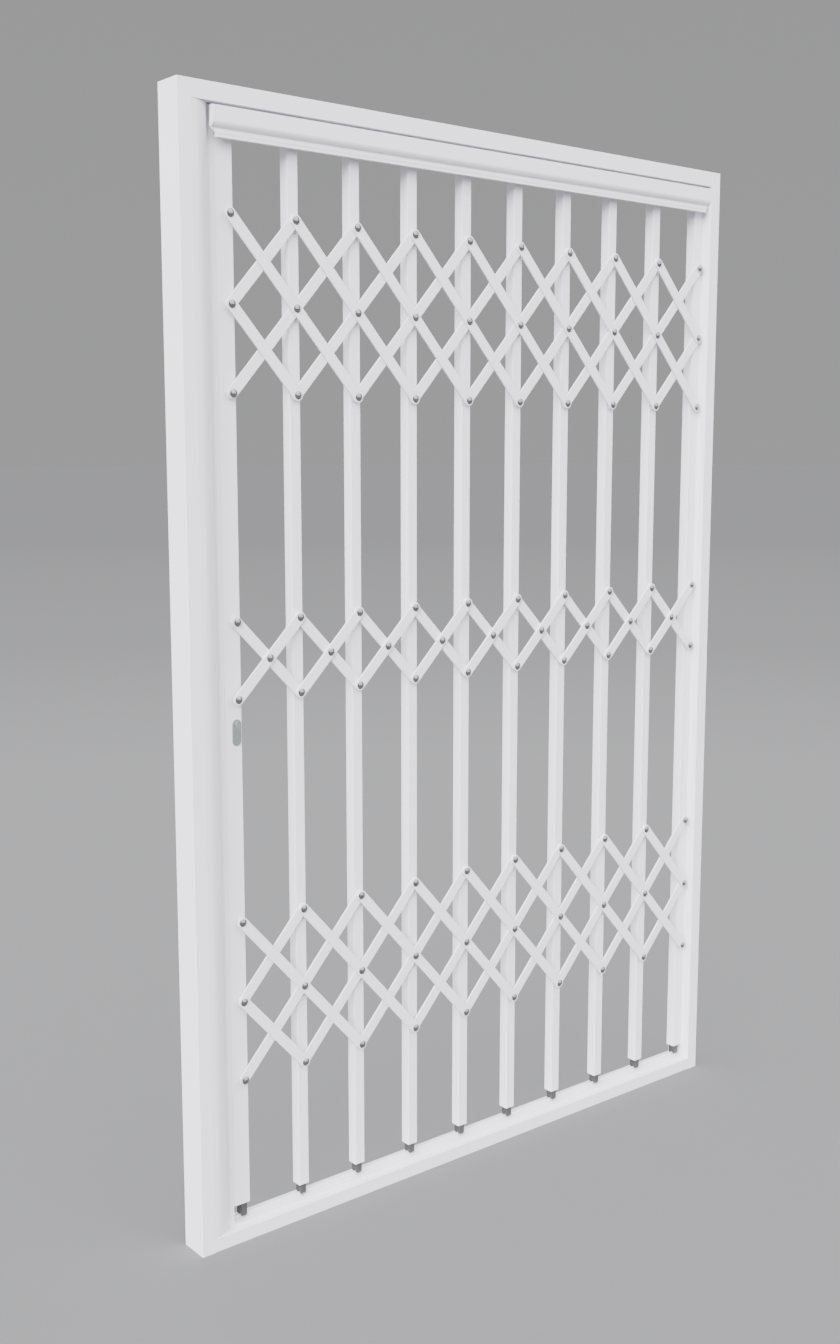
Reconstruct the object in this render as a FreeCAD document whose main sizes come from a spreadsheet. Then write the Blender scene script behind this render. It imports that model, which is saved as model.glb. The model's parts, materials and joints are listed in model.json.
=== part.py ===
"""Retractable window security grille: concertina pickets and riveted lattices in a box-section frame.

+X runs across the opening, +Y from the front to the back and +Z up. The origin is at the middle of
the sill's underside. The gate stands closed: its lead stile is beside the receiver on the left, and
it folds to the right, against the fixed end stile.
"""
import FreeCAD, Part
import math
import os

import Sketcher
from FreeCAD import Placement, Rotation, Vector

BAYS = 9
FIXINGS = 4
FULL_TURN = 360.0

SIZES = {
    "frame_width": 1212.7,
    "frame_height": 1834.0,
    "frame_depth": 55.0,
    "jamb_face": 25.0,
    "head_face": 27.0,
    "sill_face": 23.0,
    "frame_wall": 2.0,
    "frame_edge": 0.8,
    "overcut": 1.0,
    "fixing_radius": 3.5,
    "fixing_spacing": 300.0,
    "bay_pitch": 120.0,
    "post_size": 20.0,
    "end_tube_width": 22.7,
    "post_wall": 1.5,
    "post_corner": 1.2,
    "post_centre": 3.5,
    "post_foot": 49.5,
    "post_top": 1765.5,
    "lead_width": 31.0,
    "lead_foot": 55.0,
    "bar_width": 18.0,
    "bar_thickness": 3.0,
    "double_link": 180.0,
    "middle_link": 172.0,
    "top_row": 1518.0,
    "middle_row": 1030.0,
    "bottom_row": 407.0,
    "layer_gap": 0.3,
    "bush_length": 2.6,
    "bush_radius": 6.0,
    "shank_radius": 3.0,
    "pivot_play": 0.1,
    "head_radius": 6.6,
    "head_rim": 0.6,
    "head_rise": 2.4,
    "collar_radius": 5.0,
    "tail_radius": 4.5,
    "tail_height": 1.5,
    "foot_width": 10.5,
    "foot_depth": 16.0,
    "foot_level": 31.0,
    "foot_round": 2.0,
    "foot_slot": 4.0,
    "foot_slot_top": 34.4,
    "plug_height": 14.0,
    "plug_play": 0.2,
    "roller_radius": 1.8,
    "roller_width": 3.0,
    "roller_offset": 3.5,
    "roller_spread": 3.2,
    "roller_gap": 0.05,
    "stem_radius": 4.0,
    "axle_radius": 2.0,
    "wheel_radius": 9.0,
    "wheel_width": 5.0,
    "wheel_inner": 6.5,
    "wheel_play": 0.3,
    "carrier_length": 16.0,
    "carrier_width": 12.0,
    "carrier_height": 12.0,
    "track_base_width": 34.0,
    "track_base_height": 4.0,
    "upstand_width": 3.0,
    "upstand_height": 5.5,
    "rail_groove": 1.2,
    "fascia_top": 1802.7,
    "fascia_bottom": 1772.2,
    "fascia_round": 5.0,
    "fascia_overhang": 14.5,
    "fascia_return_depth": 14.0,
    "lip_top": 1768.0,
    "lip_bottom": 1757.6,
    "lip_setback": 4.0,
    "lip_line": 0.8,
    "lip_thickness": 6.0,
    "groove_depth": 3.0,
    "channel_bottom": 1770.0,
    "lip_inset": 8.5,
    "track_wall": 2.5,
    "track_back": 24.0,
    "track_web": 10.0,
    "stem_slot": 10.0,
    "receiver_land": 11.5,
    "receiver_back": 20.0,
    "receiver_flat": 2.0,
    "side_gap": 0.5,
    "lock_level": 853.0,
    "lock_width": 16.3,
    "lock_length": 43.0,
    "lock_proud": 1.2,
    "lock_depth": 7.0,
    "cylinder_radius": 5.0,
    "cylinder_back": 12.0,
    "keyway_width": 1.6,
    "keyway_length": 6.0,
    "keyway_depth": 3.0,
    "hook_level": 820.0,
    "hook_pivot_inset": 17.0,
    "hook_reach": 26.0,
    "hook_width": 10.0,
    "hook_nose": 5.0,
    "hook_nose_width": 6.0,
    "hook_thickness": 4.0,
    "hook_pin_radius": 2.5,
    "hook_slot_width": 6.0,
    "hook_slot_bottom": 813.0,
    "hook_slot_top": 852.0,
}

doc = FreeCAD.newDocument("window_grille")
sheet = doc.addObject("Spreadsheet::Sheet", "dims")


def cell(alias, number):
    """Adds one named dimension to the sheet."""
    SIZES[alias] = number
    line = list(SIZES).index(alias) + 1
    sheet.set(f"A{line}", alias)
    sheet.set(f"B{line}", f"{number:.6f}")
    sheet.setAlias(f"B{line}", alias)
    return number


for known, number in list(SIZES.items()):
    cell(known, number)


def size(alias):
    """A named dimension; a leading minus sign negates it."""
    if alias.startswith("-"):
        return -SIZES[alias[1:]]
    return SIZES[alias]


def bound(alias):
    """The expression that binds a property to a named dimension."""
    if alias.startswith("-"):
        return f"-dims.{alias[1:]}"
    return f"dims.{alias}"


# ---- dimensions that follow from the driving ones ------------------------------------------------
def follow_frame():
    """Cells for the frame's tubes and the places that the gate takes from it."""
    cell("half_depth", size("frame_depth") / 2)
    cell("inner_half_depth", size("half_depth") - size("frame_wall"))
    cell("jamb_inner_wall", size("jamb_face") - size("frame_wall"))
    cell("opening_half", size("frame_width") / 2 - size("jamb_face"))
    cell("opening_width", 2 * size("opening_half"))
    cell("head_under", size("frame_height") - size("head_face"))
    cell("head_inner_low", size("head_under") + size("frame_wall"))
    cell("head_inner_high", size("frame_height") - size("frame_wall"))
    cell("sill_inner_high", size("sill_face") - size("frame_wall"))
    cell("post_half", size("post_size") / 2)
    cell("end_reach", size("end_tube_width") - size("post_half"))
    cell("end_inner", size("end_reach") - size("post_wall"))
    cell("last_column", size("opening_half") - size("end_reach"))
    cell("post_inner", size("post_half") - size("post_wall"))
    cell("post_front", size("post_centre") - size("post_half"))
    cell("post_height", size("post_top") - size("post_foot"))
    cell("lead_height", size("post_top") - size("lead_foot"))
    cell("lead_reach", size("lead_width") - size("post_half"))
    cell("lead_inner", size("lead_reach") - size("post_wall"))


def follow_lattice():
    """Cells for the rivets' depths, which are counted forward from the posts' front faces."""
    cell("back_bar", size("bush_length") + size("layer_gap"))
    cell("back_bar_face", size("back_bar") + size("bar_thickness"))
    cell("front_bar", size("back_bar_face") + size("layer_gap"))
    cell("front_bar_face", size("front_bar") + size("bar_thickness"))
    cell("head_seat", size("front_bar_face") + size("pivot_play"))
    cell("head_edge", size("head_seat") + size("head_rim"))
    cell("head_crown", size("head_edge") + size("head_rise"))
    rise = size("head_rise")
    cell("head_dome", (size("head_radius") ** 2 + rise**2) / (2 * rise))
    cell("tail_seat", size("back_bar") - size("pivot_play"))
    cell("tail_end", size("tail_seat") - size("tail_height"))
    cell("post_tail_seat", size("post_wall") + size("pivot_play"))
    cell("post_tail_end", size("post_tail_seat") + size("tail_height"))
    cell("bar_half", size("bar_width") / 2)
    cell("bar_hole", size("shank_radius") + size("pivot_play"))
    cell("middle_half", size("middle_link") / 2)
    cell("collar_seat", size("back_bar_face") + size("pivot_play"))


def follow_tracks():
    """Cells for the tracks, the receiver, the feet and the trolleys."""
    cell("base_top", size("sill_face") + size("track_base_height"))
    cell("upstand_top", size("base_top") + size("upstand_height"))
    cell("base_front", size("post_centre") - size("track_base_width") / 2)
    cell("base_back", size("post_centre") + size("track_base_width") / 2)
    cell("upstand_front", size("post_centre") - size("upstand_width") / 2)
    cell("upstand_back", size("post_centre") + size("upstand_width") / 2)
    cell("rail_groove_front", size("upstand_front") - size("rail_groove"))
    cell("rail_groove_floor", size("base_top") - size("rail_groove"))
    cell("fascia_face", -size("half_depth"))
    cell("fascia_round_top", size("fascia_bottom") + size("fascia_round"))
    cell("lip_face", size("fascia_face") + size("lip_setback"))
    setback = size("lip_setback")
    cell("fascia_arc", (setback**2 + size("fascia_round") ** 2) / (2 * setback))
    cell("groove_back", size("lip_face") + size("groove_depth"))
    middle = (size("lip_top") + size("lip_bottom")) / 2
    cell("lip_line_low", middle - size("lip_line") / 2)
    cell("lip_line_high", middle + size("lip_line") / 2)
    cell("lip_line_back", size("lip_face") + size("lip_line"))
    cell("fascia_return", size("fascia_face") + size("fascia_return_depth"))
    cell("slot_front", size("post_centre") - size("stem_slot") / 2)
    cell("slot_back", size("post_centre") + size("stem_slot") / 2)
    cell("lip_back", size("lip_face") + size("lip_thickness"))
    cell("flange_top", size("channel_bottom") + size("track_wall"))
    cell("cavity_top", size("fascia_top") - size("track_wall"))
    cell("cavity_back", size("track_back") - size("track_wall"))
    cell("cavity_front", size("fascia_face") + size("track_web"))
    cell("receiver_width", size("opening_width") - BAYS * size("bay_pitch")
         - size("end_reach") - size("lead_reach") - size("side_gap"))
    cell("receiver_top", size("head_under") - size("side_gap"))
    cell("receiver_height", size("receiver_top") - size("sill_face"))
    cell("nose_start", size("receiver_width") - size("receiver_flat"))
    cell("nose_face", size("half_depth") - size("side_gap"))
    run = size("nose_start") - size("receiver_land")
    drop = size("nose_face") + size("post_front")
    cell("nose_radius", (run**2 + drop**2) / (2 * drop))
    wall = size("frame_wall")
    cell("nose_inner_radius", size("nose_radius") - wall)
    cell("nose_inner_face", size("nose_face") - wall)
    cell("land_inner", -size("post_front") - wall)
    centre_to_land = size("nose_radius") - drop - wall
    cell("nose_inner_end", size("nose_start")
         - math.sqrt(size("nose_inner_radius") ** 2 - centre_to_land**2))
    cell("receiver_inner_back", size("receiver_back") - wall)
    cell("receiver_wall", wall)
    cell("track_length", size("opening_half") + BAYS * size("bay_pitch") - size("last_column")
         + size("lead_reach") + size("fascia_overhang") - size("side_gap"))
    cell("rail_length", size("track_length") - size("fascia_overhang"))
    cell("foot_half_width", size("foot_width") / 2)
    cell("foot_half_depth", size("foot_depth") / 2)
    cell("foot_slot_half", size("foot_slot") / 2)
    cell("foot_under", size("foot_level") - size("overcut"))
    cell("foot_height", size("post_foot") - size("foot_level"))
    cell("lead_foot_height", size("lead_foot") - size("foot_level"))
    cell("plug_half", size("post_inner") - size("plug_play"))
    cell("plug_size", 2 * size("plug_half"))


def follow_lock():
    """Cells for the lock in the lead stile."""
    cell("lock_half", size("lock_width") / 2)
    cell("lock_top", size("lock_level") + size("lock_length") / 2 - size("lock_half"))
    cell("lock_bottom", size("lock_level") - size("lock_length") / 2 + size("lock_half"))
    cell("lock_opening", size("lock_half") + size("pivot_play"))
    cell("lock_height", size("lock_proud") + size("lock_depth"))
    cell("cylinder_bore", size("cylinder_radius") + size("pivot_play"))
    cell("cylinder_length", size("lock_proud") + size("cylinder_back"))
    cell("keyway_half", size("keyway_width") / 2)
    cell("keyway_reach", size("keyway_length") / 2)
    cell("hook_half", size("hook_width") / 2)
    cell("hook_bore", size("hook_pin_radius") + size("pivot_play"))
    cell("hook_nose_low", size("hook_reach") - size("hook_nose_width"))
    cell("hook_tip", size("hook_half") + size("hook_nose"))
    cell("slot_half", size("hook_slot_width") / 2)
    cell("pin_length", size("post_inner") + size("hook_thickness") / 2)


follow_frame()
follow_lattice()
follow_tracks()
follow_lock()
doc.recompute()

POST_FRONT = size("post_front")
POST_CENTRE = size("post_centre")
DOUBLE_ANGLE = math.degrees(math.acos(size("bay_pitch") / size("double_link")))
MIDDLE_ANGLE = math.degrees(math.acos(size("bay_pitch") / size("middle_link")))
MIDDLE_DROP = size("middle_link") * math.sin(math.radians(MIDDLE_ANGLE))
Y_AXIS = Vector(0, 1, 0)
nodes = []


def column(number):
    """X of a column of rivets: 0 is on the lead stile and 9 is on the fixed end stile."""
    return size("last_column") - (BAYS - number) * size("bay_pitch")


# ---- ways of working -----------------------------------------------------------------------------
def new_body(name):
    """An empty PartDesign body."""
    return doc.addObject("PartDesign::Body", name)


def new_sketch(body, name, plane, offset=None):
    """A sketch on one of the body's origin planes, moved along its normal by a named dimension."""
    sketch = body.newObject("Sketcher::SketchObject", name)
    support = next(item for item in body.Origin.OriginFeatures if item.Role == plane)
    sketch.AttachmentSupport = [(support, "")]
    sketch.MapMode = "FlatFace"
    if offset:
        sketch.setExpression("AttachmentOffset.Base.z", bound(offset))
    return sketch


def pin_point(sketch, edge, end, x, y):
    """Holds one end of an edge at named distances from the sketch's origin; None is on the axis."""
    if x is None:
        sketch.addConstraint(Sketcher.Constraint("PointOnObject", edge, end, -2))
    else:
        index = sketch.addConstraint(Sketcher.Constraint("DistanceX", -1, 1, edge, end, size(x)))
        sketch.setExpression(f"Constraints[{index}]", bound(x))
    if y is None:
        sketch.addConstraint(Sketcher.Constraint("PointOnObject", edge, end, -1))
    else:
        index = sketch.addConstraint(Sketcher.Constraint("DistanceY", -1, 1, edge, end, size(y)))
        sketch.setExpression(f"Constraints[{index}]", bound(y))


def centre_on_chord(sketch, edge, corner, upright):
    """Makes an arc between two fixed ends a half circle by holding its centre between them."""
    kind, alias = ("DistanceX", corner[0]) if upright else ("DistanceY", corner[1])
    if alias is None:
        sketch.addConstraint(Sketcher.Constraint("PointOnObject", edge, 3, -2 if upright else -1))
        return
    index = sketch.addConstraint(Sketcher.Constraint(kind, -1, 1, edge, 3, size(alias)))
    sketch.setExpression(f"Constraints[{index}]", bound(alias))


def outline(sketch, corners, arcs=None):
    """A closed loop through named corners; arcs gives an edge's radius and the side of its centre.

    The side is 1 where the centre is to the left of the way from the edge's first corner to its
    second, and -1 where it is to the right.
    """
    arcs = arcs or {}
    points = [Vector(size(x) if x else 0.0, size(y) if y else 0.0, 0) for x, y in corners]
    ends = []
    for number, start in enumerate(points):
        finish = points[(number + 1) % len(points)]
        if number in arcs:
            radius, side = arcs[number]
            chord = finish - start
            left = Vector(-chord.y, chord.x, 0) / chord.Length
            sagitta = size(radius) - math.sqrt(size(radius) ** 2 - chord.Length**2 / 4)
            middle = (start + finish) / 2 - left * side * sagitta
            edge = sketch.addGeometry(Part.Arc(start, middle, finish), False)
            if chord.Length < 2 * size(radius) - 1e-6:
                index = sketch.addConstraint(Sketcher.Constraint("Radius", edge, size(radius)))
                sketch.setExpression(f"Constraints[{index}]", bound(radius))
            else:
                centre_on_chord(sketch, edge, corners[number], upright=abs(chord.x) < 1e-6)
            ends.append((edge, 1, 2) if side > 0 else (edge, 2, 1))
        else:
            ends.append((sketch.addGeometry(Part.LineSegment(start, finish), False), 1, 2))
    for number, (edge, first, _) in enumerate(ends):
        before = ends[number - 1]
        sketch.addConstraint(Sketcher.Constraint("Coincident", before[0], before[2], edge, first))
        pin_point(sketch, edge, first, *corners[number])
    return sketch


def rectangle(sketch, low_x, low_y, high_x, high_y):
    """A rectangle between two named corners."""
    corners = [(low_x, low_y), (high_x, low_y), (high_x, high_y), (low_x, high_y)]
    return outline(sketch, corners)


def circle(sketch, x, y, radius):
    """A circle of a named radius about a named point."""
    centre = Vector(size(x) if x else 0.0, size(y) if y else 0.0, 0)
    edge = sketch.addGeometry(Part.Circle(centre, Vector(0, 0, 1), size(radius)), False)
    index = sketch.addConstraint(Sketcher.Constraint("Radius", edge, size(radius)))
    sketch.setExpression(f"Constraints[{index}]", bound(radius))
    pin_point(sketch, edge, 3, x, y)


def pad(body, sketch, length):
    """Raises a sketch along its normal by a named length."""
    before = body.Shape.Volume if body.Tip else 0.0
    feature = body.newObject("PartDesign::Pad", f"{sketch.Name}_pad")
    feature.Profile = sketch
    feature.setExpression("Length", bound(length))
    body.Tip = feature
    doc.recompute()
    if not body.Shape.Volume > before:
        raise ValueError(f"{sketch.Name} adds nothing")
    return feature


def pocket(body, sketch, length=None, forward=False):
    """Cuts a sketch out of the body, against its normal unless forward, by a length or right through."""
    before = body.Shape.Volume
    feature = body.newObject("PartDesign::Pocket", f"{sketch.Name}_pocket")
    feature.Profile = sketch
    feature.Reversed = forward
    if length:
        feature.setExpression("Length", bound(length))
    else:
        feature.Type = "ThroughAll"
    body.Tip = feature
    doc.recompute()
    if not body.Shape.Volume < before:
        raise ValueError(f"{sketch.Name} cuts nothing")
    return feature


def round_edges(body, feature, radius, wanted):
    """Fillets the edges of a feature whose middle points are wanted."""
    names = []
    for number, edge in enumerate(feature.Shape.Edges, start=1):
        if wanted(edge.CenterOfMass, edge):
            names.append(f"Edge{number}")
    fillet = body.newObject("PartDesign::Fillet", f"{feature.Name}_fillet")
    fillet.Base = (feature, names)
    fillet.setExpression("Radius", bound(radius))
    body.Tip = fillet
    doc.recompute()
    return fillet


def copy_of(master, name, x=0.0, y=0.0, z=0.0, turn=0.0):
    """A link to a master piece, turned about Y and then moved."""
    link = doc.addObject("App::Link", name)
    link.LinkedObject = master
    link.Placement = Placement(Vector(x, y, z), Rotation(Y_AXIS, turn))
    return link


def single(piece, label, x=0.0, y=0.0, z=0.0):
    """Names a one-piece node and puts it in its place."""
    piece.Label = label
    piece.Placement = Placement(Vector(x, y, z), Rotation())
    nodes.append(piece)
    return piece


def assembly(label, pieces, x=0.0, y=0.0, z=0.0, turn=0.0):
    """A node made of several separate solids that move as one."""
    compound = doc.addObject("Part::Compound", label)
    compound.Links = pieces
    compound.Label = label
    compound.Placement = Placement(Vector(x, y, z), Rotation(Y_AXIS, turn))
    nodes.append(compound)
    return compound


# ---- frame ---------------------------------------------------------------------------------------
def make_jamb(label, x, outer_at_zero):
    """One upright of the frame: a box section with its outer edges eased and its ends closed."""
    body = new_body(f"{label}_body")
    section = new_sketch(body, f"{label}_section", "XY_Plane")
    rectangle(section, None, "-half_depth", "jamb_face", "half_depth")
    rectangle(section, "frame_wall", "-inner_half_depth", "jamb_inner_wall", "inner_half_depth")
    feature = pad(body, section, "frame_height")
    outer = 0.0 if outer_at_zero else size("jamb_face")

    def is_outer(middle, edge):
        return abs(middle.x - outer) < 1e-3 and abs(abs(middle.y) - size("half_depth")) < 1e-3

    round_edges(body, feature, "frame_edge", is_outer)
    pieces = [body]
    for end, low in (("foot", None), ("top", "head_inner_high")):
        cap = new_body(f"{label}_{end}_cap")
        plate = new_sketch(cap, f"{label}_{end}_plate", "XY_Plane", low)
        rectangle(plate, "frame_wall", "-inner_half_depth", "jamb_inner_wall", "inner_half_depth")
        pad(cap, plate, "frame_wall")
        pieces.append(cap)
    return assembly(label, pieces, x=x)


def make_rail(label, low, inner_low, inner_high, high):
    """One cross member of the frame, a box section between the jambs."""
    body = new_body(f"{label}_body")
    section = new_sketch(body, f"{label}_section", "YZ_Plane")
    rectangle(section, "-half_depth", low, "half_depth", high)
    rectangle(section, "-inner_half_depth", inner_low, "inner_half_depth", inner_high)
    pad(body, section, "opening_width")
    return single(body, label, x=-size("opening_half"))


def make_head():
    """The head, with the fixing holes that screws pass through into the lintel."""
    head = make_rail("frame_head", "head_under", "head_inner_low", "head_inner_high",
                     "frame_height")
    holes = new_sketch(head, "fixing_holes", "XY_Plane")
    for number in range(FIXINGS):
        alias = f"fixing_{number + 1}"
        along = (number - (FIXINGS - 1) / 2) * size("fixing_spacing")
        cell(alias, size("opening_half") + along)
        doc.recompute()
        circle(holes, alias, None, "fixing_radius")
    pocket(head, holes, forward=True)


# ---- receiver and tracks -------------------------------------------------------------------------
def make_receiver():
    """The receiver on the left jamb: a round-nosed hollow section with a slot for the hook.

    At the slot's height the wall is three solids side by side, so that the way in stays clear.
    """
    body = new_body("receiver_body")
    section = new_sketch(body, "receiver_section", "XY_Plane", "sill_face")
    outline(section, [
        ("-receiver_width", "-nose_face"),
        ("-nose_start", "-nose_face"),
        ("-receiver_land", "post_front"),
        (None, "post_front"),
        (None, "receiver_back"),
        ("-receiver_width", "receiver_back"),
    ], {1: ("nose_radius", 1)})
    outline(section, [
        ("-nose_start", "-nose_inner_face"),
        ("-nose_inner_end", "-land_inner"),
        ("-receiver_wall", "-land_inner"),
        ("-receiver_wall", "receiver_inner_back"),
        ("-nose_start", "receiver_inner_back"),
    ], {0: ("nose_inner_radius", 1)})
    pad(body, section, "receiver_height")
    slot = new_sketch(body, "keep_slot", "YZ_Plane")
    cell("keep_low", POST_CENTRE - size("slot_half"))
    cell("keep_high", POST_CENTRE + size("slot_half"))
    doc.recompute()
    rectangle(slot, "keep_low", "hook_slot_bottom", "keep_high", "hook_slot_top")
    pocket(body, slot, "lock_depth")
    cell("below_slot", size("hook_slot_bottom") - size("sill_face"))
    cell("beside_slot", size("hook_slot_top") - size("hook_slot_bottom"))
    cell("above_slot", size("receiver_top") - size("hook_slot_top"))
    cell("slot_to_front", size("keep_low") + size("half_depth"))
    cell("slot_to_back", size("half_depth") - size("keep_high"))
    doc.recompute()
    front = -size("half_depth")
    rooms = {
        "below": (front, "frame_depth", size("sill_face"), "below_slot"),
        "above": (front, "frame_depth", size("hook_slot_top"), "above_slot"),
        "front": (front, "slot_to_front", size("hook_slot_bottom"), "beside_slot"),
        "web": (size("keep_low"), "hook_slot_width", size("hook_slot_bottom"), "beside_slot"),
        "back": (size("keep_high"), "slot_to_back", size("hook_slot_bottom"), "beside_slot"),
    }
    pieces = []
    for name, (y, width, z, height) in rooms.items():
        room = primitive("Part::Box", f"receiver_room_{name}", Length="receiver_width",
                         Width=width, Height=height)
        room.Placement.Base = Vector(-size("receiver_width"), y, z)
        piece = doc.addObject("Part::MultiCommon", f"receiver_{name}")
        piece.Shapes = [body, room]
        pieces.append(piece)
    assembly("receiver", pieces, x=-size("opening_half") + size("receiver_width"))


def make_top_track():
    """The head track: a fascia with a round lower edge, a groove, two lips and the wheel channel."""
    body = new_body("top_track_body")
    section = new_sketch(body, "top_track_section", "YZ_Plane")
    outline(section, [
        ("slot_front", "channel_bottom"),
        ("lip_back", "channel_bottom"),
        ("lip_back", "lip_bottom"),
        ("lip_face", "lip_bottom"),
        ("lip_face", "lip_line_low"),
        ("lip_line_back", "lip_line_low"),
        ("lip_line_back", "lip_line_high"),
        ("lip_face", "lip_line_high"),
        ("lip_face", "lip_top"),
        ("groove_back", "lip_top"),
        ("groove_back", "fascia_bottom"),
        ("lip_face", "fascia_bottom"),
        ("fascia_face", "fascia_round_top"),
        ("fascia_face", "fascia_top"),
        ("fascia_return", "fascia_top"),
        ("fascia_return", "head_under"),
        ("track_back", "head_under"),
        ("track_back", "channel_bottom"),
        ("slot_back", "channel_bottom"),
        ("slot_back", "flange_top"),
        ("cavity_back", "flange_top"),
        ("cavity_back", "cavity_top"),
        ("cavity_front", "cavity_top"),
        ("cavity_front", "flange_top"),
        ("slot_front", "flange_top"),
    ], {11: ("fascia_arc", -1)})
    pad(body, section, "track_length")
    cell("notch_front", size("cavity_front") - size("overcut"))
    cell("notch_back", size("track_back") + size("overcut"))
    cell("before_end", -size("overcut"))
    doc.recompute()
    notch = new_sketch(body, "receiver_notch", "XY_Plane")
    rectangle(notch, "before_end", "notch_front", "fascia_overhang", "notch_back")
    pocket(body, notch, forward=True)
    cell("lip_end_right", size("track_length") - size("lip_inset"))
    cell("past_end", size("track_length") + size("overcut"))
    cell("below_lips", size("lip_bottom") - size("overcut"))
    cell("mitre_low", size("lip_top") - size("lip_setback"))
    doc.recompute()
    mitre = new_sketch(body, "end_mitres", "XZ_Plane", "frame_depth")
    outline(mitre, [("before_end", "below_lips"), ("lip_inset", "below_lips"),
                    ("lip_inset", "mitre_low"), (None, "fascia_bottom"),
                    ("before_end", "fascia_bottom")])
    outline(mitre, [("past_end", "below_lips"), ("past_end", "fascia_bottom"),
                    ("track_length", "fascia_bottom"), ("lip_end_right", "mitre_low"),
                    ("lip_end_right", "below_lips")])
    pocket(body, mitre)
    single(body, "top_track", x=size("opening_half") - size("side_gap") - size("track_length"))


def make_bottom_track():
    """The sill rail: a flat base with a groove and the upstand that the feet straddle."""
    body = new_body("bottom_track_body")
    section = new_sketch(body, "bottom_track_section", "YZ_Plane")
    outline(section, [
        ("base_front", "sill_face"),
        ("base_back", "sill_face"),
        ("base_back", "base_top"),
        ("upstand_back", "base_top"),
        ("upstand_back", "upstand_top"),
        ("upstand_front", "upstand_top"),
        ("upstand_front", "rail_groove_floor"),
        ("rail_groove_front", "rail_groove_floor"),
        ("rail_groove_front", "base_top"),
        ("base_front", "base_top"),
    ])
    pad(body, section, "rail_length")
    single(body, "bottom_track", x=size("opening_half") - size("side_gap") - size("rail_length"))


# ---- posts and what they carry -------------------------------------------------------------------
def make_tube(name, left, right, foot, height):
    """A box tube about a post's centre line, with holes in its front wall for the pivot rivets.

    left and right each name the outer and the inner face on that side.
    """
    body = new_body(name)
    section = new_sketch(body, f"{name}_section", "XY_Plane", foot)
    rectangle(section, left[0], "-post_half", right[0], "post_half")
    rectangle(section, left[1], "-post_inner", right[1], "post_inner")
    feature = pad(body, section, height)

    def is_corner(middle, edge):
        upright = edge.Length > size("post_height") / 2
        on_side = min(abs(middle.x - size(side[0])) for side in (left, right)) < 1e-3
        return upright and on_side and abs(abs(middle.y) - size("post_half")) < 1e-3

    round_edges(body, feature, "post_corner", is_corner)
    holes = new_sketch(body, f"{name}_pivots", "XZ_Plane")
    for row in ("top_row", "middle_row", "bottom_row"):
        circle(holes, None, row, "bar_hole")
    pocket(body, holes, forward=True)
    return body


def make_foot(name, height, tube_end):
    """A guide foot: a block that straddles the upstand, with a plug that fills the tube's end."""
    body = new_body(name)
    block = new_sketch(body, f"{name}_block", "XY_Plane", "foot_level")
    rectangle(block, "-foot_half_width", "-foot_half_depth", "foot_half_width", "foot_half_depth")
    feature = pad(body, block, height)

    def is_lowest(middle, edge):
        return abs(middle.z - size("foot_level")) < 1e-3

    round_edges(body, feature, "foot_round", is_lowest)
    plug = new_sketch(body, f"{name}_plug", "XY_Plane", tube_end)
    rectangle(plug, "-plug_half", "-plug_half", "plug_half", "plug_half")
    pad(body, plug, "plug_height")
    slot = new_sketch(body, f"{name}_slot", "YZ_Plane", "foot_width")
    rectangle(slot, "-foot_slot_half", "foot_under", "foot_slot_half", "foot_slot_top")
    pocket(body, slot)
    return body


def primitive(kind, name, **bindings):
    """A Part primitive whose properties are bound to named dimensions."""
    piece = doc.addObject(kind, name)
    for name_of_property, alias in bindings.items():
        piece.setExpression(name_of_property, bound(alias))
    return piece


def lay_along_y(piece, y, z, x=0.0):
    """Turns a cylinder's axis from Z to Y and starts it at y, z and x."""
    piece.Placement = Placement(Vector(x, y, z), Rotation(Vector(1, 0, 0), -90))
    return piece


def make_roller():
    """A small steel roller that runs on the sill rail beside the upstand."""
    return primitive("Part::Cylinder", "foot_roller", Radius="roller_radius",
                     Height="roller_width")


def make_carrier():
    """A trolley: a plug for the post's end, a stem through the track's slot and an axle block."""
    cell("plug_low", size("post_top") - size("plug_height"))
    cell("axle_level", size("flange_top") + size("wheel_play") + size("wheel_radius"))
    cell("block_low", size("axle_level") - size("carrier_height") / 2)
    cell("stem_length", size("block_low") - size("plug_low") + size("overcut"))
    cell("axle_length", 2 * (size("wheel_inner") + size("wheel_width")))
    doc.recompute()
    plug = primitive("Part::Box", "carrier_plug", Length="plug_size", Width="plug_size",
                     Height="plug_height")
    plug.Placement.Base = Vector(-size("plug_half"), -size("plug_half"), size("plug_low"))
    stem = primitive("Part::Cylinder", "carrier_stem", Radius="stem_radius", Height="stem_length")
    stem.Placement.Base = Vector(0, 0, size("plug_low"))
    block = primitive("Part::Box", "carrier_block", Length="carrier_length",
                      Width="carrier_width", Height="carrier_height")
    block.Placement.Base = Vector(-size("carrier_length") / 2, -size("carrier_width") / 2,
                                  size("block_low"))
    axle = primitive("Part::Cylinder", "carrier_axle", Radius="axle_radius", Height="axle_length")
    lay_along_y(axle, -size("axle_length") / 2, size("axle_level"))
    carrier = doc.addObject("Part::MultiFuse", "carrier")
    carrier.Shapes = [plug, stem, block, axle]
    return carrier


def make_wheel():
    """A trolley wheel with its bore."""
    cell("wheel_bore", size("axle_radius") + size("pivot_play"))
    doc.recompute()
    disc = primitive("Part::Cylinder", "wheel_disc", Radius="wheel_radius", Height="wheel_width")
    bore = primitive("Part::Cylinder", "wheel_hole", Radius="wheel_bore", Height="wheel_width")
    wheel = doc.addObject("Part::Cut", "wheel")
    wheel.Base = disc
    wheel.Tool = bore
    return wheel


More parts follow.
